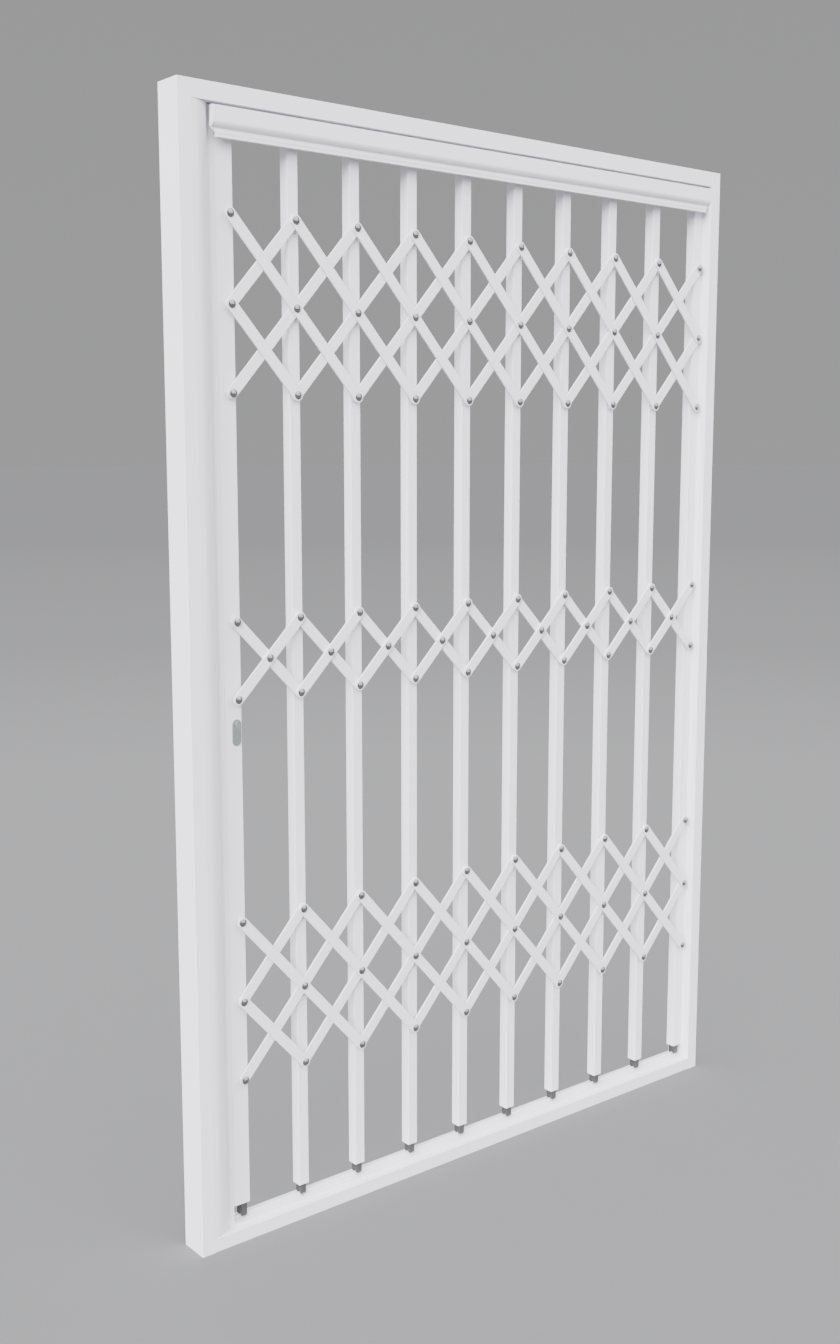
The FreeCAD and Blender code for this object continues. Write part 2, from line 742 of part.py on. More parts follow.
def make_bush():
    """The spacer between a post and the bars that turn on it."""
    rim = primitive("Part::Cylinder", "bush_rim", Radius="bush_radius", Height="bush_length")
    bore = primitive("Part::Cylinder", "bush_bore", Radius="bar_hole", Height="bush_length")
    bush = doc.addObject("Part::Cut", "bush")
    bush.Base = rim
    bush.Tool = bore
    return bush


# ---- rivets and bars -----------------------------------------------------------------------------
def turn_profile(name, corners, arcs=None):
    """A body turned about Y from half of its section."""
    body = new_body(name)
    half = new_sketch(body, f"{name}_half", "XY_Plane")
    outline(half, corners, arcs)
    feature = body.newObject("PartDesign::Revolution", f"{name}_turn")
    feature.Profile = half
    feature.ReferenceAxis = (half, ["V_Axis"])
    feature.Angle = FULL_TURN
    body.Tip = feature
    doc.recompute()
    return body


HEAD = [
    ("shank_radius", "-head_seat"),
    ("head_radius", "-head_seat"),
    ("head_radius", "-head_edge"),
    (None, "-head_crown"),
]


def make_post_rivet():
    """The pivot rivet: from its tail inside the post, through both bars, to its domed head."""
    corners = [(None, "post_tail_end"), ("tail_radius", "post_tail_end"),
               ("tail_radius", "post_tail_seat"), ("shank_radius", "post_tail_seat"), *HEAD]
    return turn_profile("post_rivet", corners, {6: ("head_dome", -1)})


def make_link_rivet():
    """A rivet that joins two crossing bars in front of the posts."""
    corners = [(None, "-tail_end"), ("tail_radius", "-tail_end"),
               ("tail_radius", "-tail_seat"), ("shank_radius", "-tail_seat"), *HEAD]
    return turn_profile("link_rivet", corners, {6: ("head_dome", -1)})


def make_front_rivet():
    """The front half of an end rivet, which turns with the front bar."""
    corners = [(None, "-front_bar"), ("shank_radius", "-front_bar"), *HEAD]
    return turn_profile("front_rivet", corners, {4: ("head_dome", -1)})


def make_back_rivet():
    """The tail half of an end rivet, which turns with the back bar."""
    corners = [(None, "-tail_end"), ("tail_radius", "-tail_end"), ("tail_radius", "-tail_seat"),
               ("shank_radius", "-tail_seat"), ("shank_radius", "-back_bar_face"),
               (None, "-back_bar_face")]
    return turn_profile("back_rivet", corners)


def make_edge_rivet():
    """An end rivet at the gate's edge, where a collar stands in for the missing front bar."""
    corners = [(None, "-tail_end"), ("tail_radius", "-tail_end"), ("tail_radius", "-tail_seat"),
               ("shank_radius", "-tail_seat"), ("shank_radius", "-collar_seat"),
               ("collar_radius", "-collar_seat"), ("collar_radius", "-head_seat"), *HEAD[1:]]
    return turn_profile("edge_rivet", corners, {8: ("head_dome", -1)})


def make_bar(name, start, finish, holes):
    """A flat bar with round ends between two points on its centre line, and its rivet holes."""
    body = new_body(name)
    shape = new_sketch(body, f"{name}_outline", "XZ_Plane")
    outline(shape, [(start, "-bar_half"), (finish, "-bar_half"),
                    (finish, "bar_half"), (start, "bar_half")],
            {1: ("bar_half", 1), 3: ("bar_half", 1)})
    for place in holes:
        circle(shape, place, None, "bar_hole")
    pad(body, shape, "bar_thickness")
    return body


def make_double_lattice(name, row, masters):
    """Twenty bars on one row of pivots: long ones on the pickets and short ones at both stiles.

    A front bar falls to the right and a back bar rises to the right. Each bar's node carries the
    part of the end rivets that turns with it.
    """
    link = size("double_link")
    level = size(row)
    for number in range(BAYS + 1):
        for side, slope in (("front", 1), ("back", -1)):
            label = f"{name}_{side}_bar_{number}"
            depth = -size(f"{side}_bar")
            ends = [-link, link]
            master = masters["long_bar"]
            turn = slope * DOUBLE_ANGLE
            if number in (0, BAYS):
                master = masters["short_bar"]
                ends = [link]
            if number == BAYS:
                turn += FULL_TURN / 2
            pieces = [copy_of(master, f"{label}_plate", y=depth)]
            for place, end in enumerate(ends):
                kind = f"{side}_rivet"
                at_left_edge = number == 1 and end < 0
                at_right_edge = number == BAYS - 1 and end > 0
                if side == "back" and (at_left_edge or at_right_edge):
                    kind = "edge_rivet"
                pieces.append(copy_of(masters[kind], f"{label}_{kind}_{place}", x=end))
            assembly(label, pieces, x=column(number), y=POST_FRONT, z=level, turn=turn)


def make_middle_lattice(masters):
    """The single row of crosses between the posts, with its crossing and lower rivets."""
    pieces = []
    for bay in range(BAYS):
        pieces.append(copy_of(masters["cross_bar"], f"falling_bar_{bay}", x=column(bay),
                              y=-size("back_bar"), turn=MIDDLE_ANGLE))
        pieces.append(copy_of(masters["cross_bar"], f"rising_bar_{bay}", x=column(bay + 1),
                              y=-size("front_bar"), turn=FULL_TURN / 2 - MIDDLE_ANGLE))
        pieces.append(copy_of(masters["link_rivet"], f"cross_rivet_{bay}",
                              x=(column(bay) + column(bay + 1)) / 2, z=-MIDDLE_DROP / 2))
    for number in range(BAYS + 1):
        pieces.append(copy_of(masters["link_rivet"], f"lower_rivet_{number}",
                              x=column(number), z=-MIDDLE_DROP))
    assembly("middle_lattice", pieces, y=POST_FRONT, z=size("middle_row"))


def post_fittings(label, masters, foot, with_trolley=True):
    """The foot, rollers, trolley, bushes and pivot rivets of one post, about its centre line."""
    pieces = [copy_of(foot, f"{label}_foot")]
    roller_level = size("foot_level") - size("roller_radius") - size("roller_gap")
    for side, y in (("front", -size("roller_offset") - size("roller_width")),
                    ("back", size("roller_offset"))):
        for end, x in (("left", -size("roller_spread")), ("right", size("roller_spread"))):
            roller = copy_of(masters["roller"], f"{label}_{side}_{end}_roller")
            pieces.append(lay_along_y(roller, y, roller_level, x))
    if with_trolley:
        pieces.append(copy_of(masters["carrier"], f"{label}_carrier"))
        for side, y in (("front", -size("wheel_inner") - size("wheel_width")),
                        ("back", size("wheel_inner"))):
            wheel = copy_of(masters["wheel"], f"{label}_{side}_wheel")
            pieces.append(lay_along_y(wheel, y, size("axle_level")))
    for row in ("top_row", "middle_row", "bottom_row"):
        bush = copy_of(masters["bush"], f"{label}_{row}_bush")
        pieces.append(lay_along_y(bush, -size("post_half") - size("bush_length"), size(row)))
        pieces.append(copy_of(masters["post_rivet"], f"{label}_{row}_rivet",
                              y=-size("post_half"), z=size(row)))
    return pieces


# ---- lock ----------------------------------------------------------------------------------------
def obround(sketch, radius):
    """The lock's upright outline with round ends."""
    outline(sketch, [(radius, "lock_bottom"), (radius, "lock_top"),
                     (f"-{radius}", "lock_top"), (f"-{radius}", "lock_bottom")],
            {1: (radius, 1), 3: (radius, 1)})


def make_lock_body():
    """The oval lock body in the lead stile's front wall, bored for the key cylinder."""
    body = new_body("lock_body")
    shape = new_sketch(body, "lock_outline", "XZ_Plane")
    obround(shape, "lock_half")
    circle(shape, None, "lock_top", "cylinder_bore")
    pad(body, shape, "lock_height")
    return body


def make_lock_cylinder():
    """The key cylinder, with its keyway, which turns in the lock body."""
    body = new_body("lock_cylinder_body")
    disc = new_sketch(body, "cylinder_outline", "XZ_Plane")
    circle(disc, None, None, "cylinder_radius")
    pad(body, disc, "cylinder_length")
    keyway = new_sketch(body, "keyway", "XZ_Plane", "cylinder_length")
    rectangle(keyway, "-keyway_half", "-keyway_reach", "keyway_half", "keyway_reach")
    pocket(body, keyway, "keyway_depth")
    back = POST_FRONT + size("cylinder_back")
    single(body, "lock_cylinder", x=column(0), y=back, z=size("lock_top"))


def make_hook():
    """The hook bolt, folded upright in the stile; its nose points at the receiver."""
    body = new_body("hook_bolt_body")
    shape = new_sketch(body, "hook_outline", "XZ_Plane")
    outline(shape, [
        ("hook_half", None),
        ("hook_half", "hook_reach"),
        ("-hook_tip", "hook_reach"),
        ("-hook_tip", "hook_nose_low"),
        ("-hook_half", "hook_nose_low"),
        ("-hook_half", None),
    ], {5: ("hook_half", 1)})
    circle(shape, None, None, "hook_bore")
    pad(body, shape, "hook_thickness")
    single(body, "hook_bolt", x=column(0) - size("hook_pivot_inset") + size("post_half"),
           y=POST_CENTRE + size("hook_thickness") / 2, z=size("hook_level"))


def make_lead_stile(masters):
    """The lead stile: a wide tube that carries the lock and the hook's pivot pin."""
    tube = make_tube("lead_tube", ("-lead_reach", "-lead_inner"), ("post_half", "post_inner"),
                     "lead_foot", "lead_height")
    opening = new_sketch(tube, "lock_opening_outline", "XZ_Plane")
    obround(opening, "lock_opening")
    pocket(tube, opening, forward=True)
    slot = new_sketch(tube, "hook_slot", "YZ_Plane")
    rectangle(slot, "-slot_half", "hook_slot_bottom", "slot_half", "hook_slot_top")
    pocket(tube, slot)
    lock = copy_of(make_lock_body(), "lock_body_in_stile",
                   y=-size("post_half") + size("lock_depth"))
    pin = primitive("Part::Cylinder", "hook_pin", Radius="hook_pin_radius", Height="pin_length")
    pin.Placement = Placement(
        Vector(size("post_half") - size("hook_pivot_inset"), -size("hook_thickness") / 2,
               size("hook_level")), Rotation(Vector(1, 0, 0), -90))
    foot = make_foot("lead_guide", "lead_foot_height", "lead_foot")
    pieces = [tube, lock, pin] + post_fittings("lead", masters, foot)
    assembly("lead_stile", pieces, x=column(0), y=POST_CENTRE)


def make_posts(masters):
    """The eight pickets, the fixed end stile and the lead stile."""
    left = ("-post_half", "-post_inner")
    tube = make_tube("post_tube", left, ("post_half", "post_inner"), "post_foot", "post_height")
    foot = make_foot("post_guide", "foot_height", "post_foot")
    for number in range(1, BAYS):
        label = f"picket_{number}"
        pieces = [copy_of(tube, f"{label}_tube"), *post_fittings(label, masters, foot)]
        assembly(label, pieces, x=column(number), y=POST_CENTRE)
    end_tube = make_tube("end_tube", left, ("end_reach", "end_inner"), "post_foot", "post_height")
    pieces = [end_tube, *post_fittings("end_stile", masters, foot, with_trolley=False)]
    assembly("end_stile", pieces, x=column(BAYS), y=POST_CENTRE)
    make_lead_stile(masters)


# ---- the whole grille ----------------------------------------------------------------------------
def build():
    """Makes every node."""
    make_jamb("frame_left_jamb", -size("frame_width") / 2, outer_at_zero=True)
    make_jamb("frame_right_jamb", size("opening_half"), outer_at_zero=False)
    make_rail("frame_sill", None, "frame_wall", "sill_inner_high", "sill_face")
    make_head()
    make_receiver()
    make_top_track()
    make_bottom_track()
    masters = {
        "long_bar": make_bar("long_bar", "-double_link", "double_link",
                             ("-double_link", None, "double_link")),
        "short_bar": make_bar("short_bar", None, "double_link", (None, "double_link")),
        "cross_bar": make_bar("cross_bar", None, "middle_link",
                              (None, "middle_half", "middle_link")),
        "post_rivet": make_post_rivet(),
        "link_rivet": make_link_rivet(),
        "front_rivet": make_front_rivet(),
        "back_rivet": make_back_rivet(),
        "edge_rivet": make_edge_rivet(),
        "bush": make_bush(),
        "roller": make_roller(),
        "carrier": make_carrier(),
        "wheel": make_wheel(),
    }
    make_posts(masters)
    make_double_lattice("top", "top_row", masters)
    make_double_lattice("bottom", "bottom_row", masters)
    make_middle_lattice(masters)
    make_lock_cylinder()
    make_hook()


def write_parts():
    """Checks every object and writes each node's shape to its own file."""
    doc.recompute()
    for item in doc.Objects:
        if "Invalid" in item.State or "Error" in item.State:
            raise ValueError(f"{item.Name} failed: {item.State}")
    os.makedirs("parts", exist_ok=True)
    for node in nodes:
        if node.Shape.isNull() or not node.Shape.isValid():
            raise ValueError(f"{node.Label} has no valid shape")
        node.Shape.exportStep(f"parts/{node.Label}.step")
    print(f"{len(nodes)} nodes")


build()
write_parts()
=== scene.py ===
"""Retractable window security grille: meshes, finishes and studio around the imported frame."""

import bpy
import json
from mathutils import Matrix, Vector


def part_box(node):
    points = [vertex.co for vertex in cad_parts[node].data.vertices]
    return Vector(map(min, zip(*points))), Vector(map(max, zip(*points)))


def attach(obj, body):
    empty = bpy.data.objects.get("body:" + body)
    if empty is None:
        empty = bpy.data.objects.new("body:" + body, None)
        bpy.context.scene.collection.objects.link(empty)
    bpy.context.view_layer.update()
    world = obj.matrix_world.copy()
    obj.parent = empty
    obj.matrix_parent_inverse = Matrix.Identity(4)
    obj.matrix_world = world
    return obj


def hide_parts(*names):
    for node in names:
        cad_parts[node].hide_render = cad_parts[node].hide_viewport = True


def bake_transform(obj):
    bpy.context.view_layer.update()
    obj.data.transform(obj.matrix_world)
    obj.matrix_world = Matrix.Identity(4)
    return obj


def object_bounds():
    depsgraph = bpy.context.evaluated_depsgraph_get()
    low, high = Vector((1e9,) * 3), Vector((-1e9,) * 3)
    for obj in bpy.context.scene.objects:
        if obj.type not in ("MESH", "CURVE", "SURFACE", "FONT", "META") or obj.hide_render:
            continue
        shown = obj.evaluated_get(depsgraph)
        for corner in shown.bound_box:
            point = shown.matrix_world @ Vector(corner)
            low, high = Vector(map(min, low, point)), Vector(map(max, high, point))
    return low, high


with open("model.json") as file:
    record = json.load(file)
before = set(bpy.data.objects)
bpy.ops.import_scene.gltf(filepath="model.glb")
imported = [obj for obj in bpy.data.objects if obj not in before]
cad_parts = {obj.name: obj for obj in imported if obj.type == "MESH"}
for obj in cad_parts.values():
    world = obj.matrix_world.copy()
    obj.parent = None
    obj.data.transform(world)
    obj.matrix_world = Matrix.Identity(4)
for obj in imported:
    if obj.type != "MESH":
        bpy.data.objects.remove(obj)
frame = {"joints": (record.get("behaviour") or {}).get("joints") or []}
CAD_BOX = [list(corner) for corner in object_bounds()]

import json
import logging
import math
from collections.abc import Callable, Iterable, Sequence
from dataclasses import dataclass, field
from enum import Enum

import bmesh
import bpy
from mathutils import Matrix, Vector

MM = 0.001
BAYS = 9
ALONG_Y = Matrix.Rotation(math.radians(90), 4, "X")
LOG = logging.getLogger("grille")

Colour = tuple[float, float, float]
Edges = Callable[[bmesh.types.BMEdge], bool]


# ---- finishes ------------------------------------------------------------------------------------
class Slot(Enum):
    """The record's material slots."""

    FRAME = "powder_frame"
    RECEIVER = "powder_receiver"
    TRACK = "powder_track"
    POST = "powder_post"
    BAR = "powder_bar"
    RAIL = "rail_aluminium"
    HOOK = "hook_steel"
    CYLINDER = "lock_cylinder_metal"
    RIVET = "rivet_steel"
    NYLON = "guide_nylon"
    BUSH = "bush_nylon"


class GroupBuilder:
    """Makes a shader node group with named sockets, and wires its nodes."""

    def __init__(self, name: str) -> None:
        """Starts an empty group.

        Args:
            name: the group's name.
        """
        self.tree = bpy.data.node_groups.new(name, "ShaderNodeTree")
        self.entry = self.tree.nodes.new("NodeGroupInput")
        self.exit = self.tree.nodes.new("NodeGroupOutput")

    def takes(self, name: str, kind: str, value: object = None) -> None:
        """Adds an input socket.

        Args:
            name: the socket's name.
            kind: Float, Vector or Color.
            value: its default value, if any.
        """
        socket = self.tree.interface.new_socket(
            name, in_out="INPUT", socket_type=f"NodeSocket{kind}")
        if value is not None:
            socket.default_value = value

    def gives(self, name: str, kind: str) -> None:
        """Adds an output socket.

        Args:
            name: the socket's name.
            kind: Float, Vector or Color.
        """
        self.tree.interface.new_socket(name, in_out="OUTPUT", socket_type=f"NodeSocket{kind}")

    def node(self, kind: str, **settings: object) -> bpy.types.Node:
        """Adds a node.

        Args:
            kind: the node's type, without its ShaderNode prefix.
            settings: properties to set on it.

        Returns:
            The new node.
        """
        made = self.tree.nodes.new(f"ShaderNode{kind}")
        for name, value in settings.items():
            setattr(made, name, value)
        return made

    def link(self, source: bpy.types.NodeSocket, target: bpy.types.NodeSocket) -> None:
        """Joins two sockets.

        Args:
            source: The output socket.
            target: The input socket.
        """
        self.tree.links.new(source, target)


class SurfaceGroups:
    """The effects that several finishes share, each built once."""

    def __init__(self) -> None:
        """Builds the groups."""
        self.coat = self._orange_peel()
        self.settled = self._settled_dust()
        self.metal = self._metal_grain()

    def _orange_peel(self) -> bpy.types.NodeTree:
        """Fine dimples and slow mottling of a sprayed or moulded skin.

        Returns:
            The group, with Colour, Roughness and Height outputs.
        """
        group = GroupBuilder("orange_peel")
        group.takes("Vector", "Vector")
        group.takes("Colour", "Color", (0.8, 0.8, 0.8, 1.0))
        group.takes("Mottle", "Float", 0.03)
        group.takes("Roughness", "Float", 0.4)
        group.takes("Dimple Scale", "Float", 900.0)
        group.gives("Colour", "Color")
        group.gives("Roughness", "Float")
        group.gives("Height", "Float")
        dimples = group.node("TexNoise")
        dimples.inputs["Detail"].default_value = 2.0
        slow = group.node("TexNoise")
        slow.inputs["Scale"].default_value = 14.0
        slow.inputs["Detail"].default_value = 4.0
        for noise in (dimples, slow):
            group.link(group.entry.outputs["Vector"], noise.inputs["Vector"])
        group.link(group.entry.outputs["Dimple Scale"], dimples.inputs["Scale"])
        centred = group.node("Math", operation="SUBTRACT")
        centred.inputs[1].default_value = 0.5
        group.link(slow.outputs["Fac"], centred.inputs[0])
        swing = group.node("Math", operation="MULTIPLY_ADD")
        swing.inputs[2].default_value = 1.0
        group.link(centred.outputs[0], swing.inputs[0])
        group.link(group.entry.outputs["Mottle"], swing.inputs[1])
        tint = group.node("VectorMath", operation="SCALE")
        group.link(group.entry.outputs["Colour"], tint.inputs[0])
        group.link(swing.outputs[0], tint.inputs["Scale"])
        group.link(tint.outputs["Vector"], group.exit.inputs["Colour"])
        gloss = group.node("Math", operation="MULTIPLY_ADD")
        gloss.inputs[1].default_value = 0.25
        group.link(centred.outputs[0], gloss.inputs[0])
        group.link(group.entry.outputs["Roughness"], gloss.inputs[2])
        group.link(gloss.outputs[0], group.exit.inputs["Roughness"])
        group.link(dimples.outputs["Fac"], group.exit.inputs["Height"])
        return group.tree

    def _settled_dust(self) -> bpy.types.NodeTree:
        """A thin, uneven veil of dust on faces that look up.

        Returns:
            The group, with a Colour output.
        """
        group = GroupBuilder("settled_dust")
        group.takes("Vector", "Vector")
        group.takes("Colour", "Color", (0.8, 0.8, 0.8, 1.0))
        group.takes("Dust Colour", "Color", (0.52, 0.50, 0.47, 1.0))
        group.takes("Amount", "Float", 0.1)
        group.gives("Colour", "Color")
        facing = group.node("NewGeometry")
        split = group.node("SeparateXYZ")
        group.link(facing.outputs["True Normal"], split.inputs[0])
        upward = group.node("MapRange", interpolation_type="SMOOTHSTEP")
        upward.inputs["From Min"].default_value = 0.6
        upward.inputs["From Max"].default_value = 0.95
        group.link(split.outputs["Z"], upward.inputs["Value"])
        specks = group.node("TexNoise")
        specks.inputs["Scale"].default_value = 70.0
        specks.inputs["Detail"].default_value = 6.0
        group.link(group.entry.outputs["Vector"], specks.inputs["Vector"])
        patchy = group.node("Math", operation="MULTIPLY")
        group.link(upward.outputs["Result"], patchy.inputs[0])
        group.link(specks.outputs["Fac"], patchy.inputs[1])
        share = group.node("Math", operation="MULTIPLY")
        group.link(patchy.outputs[0], share.inputs[0])
        group.link(group.entry.outputs["Amount"], share.inputs[1])
        mix = group.node("Mix", data_type="RGBA")
        group.link(share.outputs[0], mix.inputs["Factor"])
        group.link(group.entry.outputs["Colour"], mix.inputs["A"])
        group.link(group.entry.outputs["Dust Colour"], mix.inputs["B"])
        group.link(mix.outputs["Result"], group.exit.inputs["Colour"])
        return group.tree

    def _metal_grain(self) -> bpy.types.NodeTree:
        """Fine drawn scratches and faint handling marks on bare metal.

        Returns:
            The group, with Colour, Roughness and Height outputs.
        """
        group = GroupBuilder("metal_grain")
        group.takes("Vector", "Vector")
        group.takes("Colour", "Color", (0.6, 0.6, 0.6, 1.0))
        group.takes("Roughness", "Float", 0.25)
        group.takes("Scratch Scale", "Float", 600.0)
        group.gives("Colour", "Color")
        group.gives("Roughness", "Float")
        group.gives("Height", "Float")
        stretch = group.node("VectorMath", operation="MULTIPLY")
        stretch.inputs[1].default_value = (1.0, 1.0, 12.0)
        group.link(group.entry.outputs["Vector"], stretch.inputs[0])
        scratches = group.node("TexNoise")
        scratches.inputs["Detail"].default_value = 3.0
        group.link(stretch.outputs["Vector"], scratches.inputs["Vector"])
        group.link(group.entry.outputs["Scratch Scale"], scratches.inputs["Scale"])
        marks = group.node("TexNoise")
        marks.inputs["Scale"].default_value = 180.0
        group.link(group.entry.outputs["Vector"], marks.inputs["Vector"])
        spread = group.node("MapRange")
        spread.inputs["To Min"].default_value = 0.86
        spread.inputs["To Max"].default_value = 1.06
        group.link(marks.outputs["Fac"], spread.inputs["Value"])
        tint = group.node("VectorMath", operation="SCALE")
        group.link(group.entry.outputs["Colour"], tint.inputs[0])
        group.link(spread.outputs["Result"], tint.inputs["Scale"])
        group.link(tint.outputs["Vector"], group.exit.inputs["Colour"])
        rough = group.node("Math", operation="MULTIPLY_ADD")
        rough.inputs[1].default_value = 0.12
        group.link(scratches.outputs["Fac"], rough.inputs[0])
        group.link(group.entry.outputs["Roughness"], rough.inputs[2])
        group.link(rough.outputs[0], group.exit.inputs["Roughness"])
        group.link(scratches.outputs["Fac"], group.exit.inputs["Height"])
        return group.tree


@dataclass(frozen=True)
class Finish:
    """A surface finish; its material is made when it is first used."""

    name: str
    colour: Colour
    roughness: float
    relief: float = 0.00001

    def shader(self, tree: bpy.types.NodeTree, groups: SurfaceGroups) -> bpy.types.Node:
        """Fills a material's tree and returns its Principled shader.

        Args:
            tree: The material's node tree.
            groups: The shared surface node groups.

        Returns:
            The Principled shader node.
        """
        raise NotImplementedError

    def material(self, groups: SurfaceGroups) -> bpy.types.Material:
        """Makes the finish's material.

        Args:
            groups: the shared effects.

        Returns:
            The material.
        """
        made = bpy.data.materials.new(self.name)
        made.use_nodes = True
        made.node_tree.nodes.clear()
        principled = self.shader(made.node_tree, groups)
        output = made.node_tree.nodes.new("ShaderNodeOutputMaterial")
        made.node_tree.links.new(principled.outputs["BSDF"], output.inputs["Surface"])
        return made

    def place_group(self, tree: bpy.types.NodeTree, group: bpy.types.NodeTree,
                    **values: object) -> bpy.types.Node:
        """Adds a shared effect that reads Object coordinates.

        Args:
            tree: the material's node tree.
            group: the shared effect.
            values: its inputs, with underscores for spaces.

        Returns:
            The group's node.
        """
        node = tree.nodes.new("ShaderNodeGroup")
        node.node_tree = group
        place = tree.nodes.new("ShaderNodeTexCoord")
        tree.links.new(place.outputs["Object"], node.inputs["Vector"])
        for name, value in values.items():
            node.inputs[name.replace("_", " ")].default_value = value
        return node

    def relief_node(self, tree: bpy.types.NodeTree, height: bpy.types.NodeSocket,
                    principled: bpy.types.Node) -> None:
        """Feeds a height through a Bump node to the shader's Normal.

        Args:
            tree: The material's node tree.
            height: The socket that gives the height.
            principled: The shader node.
        """
        bump = tree.nodes.new("ShaderNodeBump")
        bump.inputs["Distance"].default_value = self.relief
        tree.links.new(height, bump.inputs["Height"])
        tree.links.new(bump.outputs["Normal"], principled.inputs["Normal"])


@dataclass(frozen=True)
class PowderCoat(Finish):
    """Baked polyester powder: dimpled, semi-gloss and a little dusty on its ledges."""

    mottle: float = 0.03
    dimples: float = 900.0
    dust: float = 0.12

    def shader(self, tree: bpy.types.NodeTree, groups: SurfaceGroups) -> bpy.types.Node:
        """Wires the peel and the dust to a Principled shader.

        Args:
            tree: The material's node tree.
            groups: The shared surface node groups.

        Returns:
            The Principled shader node.
        """
        peel = self.place_group(tree, groups.coat, Colour=(*self.colour, 1.0), Mottle=self.mottle,
                                Roughness=self.roughness, Dimple_Scale=self.dimples)
        dust = self.place_group(tree, groups.settled, Amount=self.dust)
        principled = tree.nodes.new("ShaderNodeBsdfPrincipled")
        tree.links.new(peel.outputs["Colour"], dust.inputs["Colour"])
        tree.links.new(dust.outputs["Colour"], principled.inputs["Base Color"])
        tree.links.new(peel.outputs["Roughness"], principled.inputs["Roughness"])
        self.relief_node(tree, peel.outputs["Height"], principled)
        return principled


@dataclass(frozen=True)
class BareMetal(Finish):
    """Polished, drawn or plated metal with fine scratches."""

    scratches: float = 600.0

    def shader(self, tree: bpy.types.NodeTree, groups: SurfaceGroups) -> bpy.types.Node:
        """Wires the grain to a metallic Principled shader.

        Args:
            tree: The material's node tree.
            groups: The shared surface node groups.

        Returns:
            The Principled shader node.
        """
        grain = self.place_group(tree, groups.metal, Colour=(*self.colour, 1.0),
                                 Roughness=self.roughness, Scratch_Scale=self.scratches)
        principled = tree.nodes.new("ShaderNodeBsdfPrincipled")
        principled.inputs["Metallic"].default_value = 1.0
        tree.links.new(grain.outputs["Colour"], principled.inputs["Base Color"])
        tree.links.new(grain.outputs["Roughness"], principled.inputs["Roughness"])
        self.relief_node(tree, grain.outputs["Height"], principled)
        return principled


@dataclass(frozen=True)
class MouldedNylon(Finish):
    """Moulded nylon with a faint spark-eroded grain."""

    grain: float = 1400.0

    def shader(self, tree: bpy.types.NodeTree, groups: SurfaceGroups) -> bpy.types.Node:
        """Wires the moulded grain to a Principled shader.

        Args:
            tree: The material's node tree.
            groups: The shared surface node groups.

        Returns:
            The Principled shader node.
        """
        skin = self.place_group(tree, groups.coat, Colour=(*self.colour, 1.0), Mottle=0.25,
                                Roughness=self.roughness, Dimple_Scale=self.grain)
        principled = tree.nodes.new("ShaderNodeBsdfPrincipled")
        tree.links.new(skin.outputs["Colour"], principled.inputs["Base Color"])
        tree.links.new(skin.outputs["Roughness"], principled.inputs["Roughness"])
        self.relief_node(tree, skin.outputs["Height"], principled)
        return principled


WHITE: Colour = (0.81, 0.80, 0.86)
FRAME_COAT = PowderCoat("powder_coat_frame", WHITE, 0.38)
POST_COAT = PowderCoat("powder_coat_posts", WHITE, 0.34)
BAR_COAT = PowderCoat("powder_coat_bars", WHITE, 0.36)
RIVET_STEEL = BareMetal("polished_rivet_steel", (0.33, 0.33, 0.35), 0.13)
ROLLER_STEEL = BareMetal("turned_roller_steel", (0.75, 0.75, 0.76), 0.18)
LOCK_METAL = BareMetal("satin_lock_metal", (0.40, 0.44, 0.45), 0.36)
CYLINDER_METAL = BareMetal("nickel_cylinder", (0.60, 0.61, 0.58), 0.24)
ZINC = BareMetal("plated_hook_steel", (0.58, 0.58, 0.58), 0.32)
GUIDE_NYLON = MouldedNylon("guide_nylon", (0.042, 0.042, 0.044), 0.46)
WHEEL_NYLON = MouldedNylon("wheel_nylon", (0.62, 0.61, 0.58), 0.42)


# ---- bench: shaping and placing ------------------------------------------------------------------
class Bench:
    """Shapes meshes, and turns each finished one into a named piece that rides on a body."""

    def __init__(self) -> None:
        """Makes the shared effects and an empty store of materials."""
        self.groups = SurfaceGroups()
        self.materials: dict[str, bpy.types.Material] = {}
        self.collection = bpy.data.collections.new("grille")
        bpy.context.scene.collection.children.link(self.collection)

    def material(self, finish: Finish) -> bpy.types.Material:
        """The material of a finish, made once.

        Args:
            finish: The finish.

        Returns:
            Its material.
        """
        if finish.name not in self.materials:
            self.materials[finish.name] = finish.material(self.groups)
        return self.materials[finish.name]

    def piece(self, shape: bmesh.types.BMesh, name: str, finish: Finish, slot: Slot, body: str,
              replaced: Sequence[str] = (), joins: tuple[str, Vector, Vector] | None = None,
              ) -> bpy.types.Object:
        """Makes a piece of the grille from a finished shape.

        Args:
            shape: the shape, in its place.
            name: the piece's name.
            finish: its surface finish.
            slot: the record's material slot; not used.
            body: the body it rides on, or the first of the two it joins.
            replaced: the CAD nodes that it stands for.
            joins: the second body and the points where the change from one to the other starts
                and ends, for a piece between two bodies; only whether it is given is used, and such
                a piece is left unparented in its place.

        Returns:
            The piece's object.
        """
        mesh = bpy.data.meshes.new(name)
        shape.to_mesh(mesh)
        shape.free()
        mesh.shade_smooth()
        mesh.set_sharp_from_angle(angle=math.radians(50))
        mesh.materials.append(self.material(finish))
        made = bpy.data.objects.new(name, mesh)
        self.collection.objects.link(made)
        weigh = made.modifiers.new("flat_faces", "WEIGHTED_NORMAL")
        weigh.keep_sharp = True
        if joins:
            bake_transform(made)
        else:
            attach(made, body)
        if replaced:
            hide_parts(*replaced)
        LOG.info("%s: %d faces on %s", name, len(mesh.polygons), body)
        return made


def moved(shape: bmesh.types.BMesh, matrix: Matrix) -> bmesh.types.BMesh:
    """Puts a shape in its place and returns it.

    Args:
        shape: The shape that is worked on.
        matrix: The transform to its place.

    Returns:
        The same shape.
    """
    bmesh.ops.transform(shape, matrix=matrix, verts=shape.verts)
    return shape


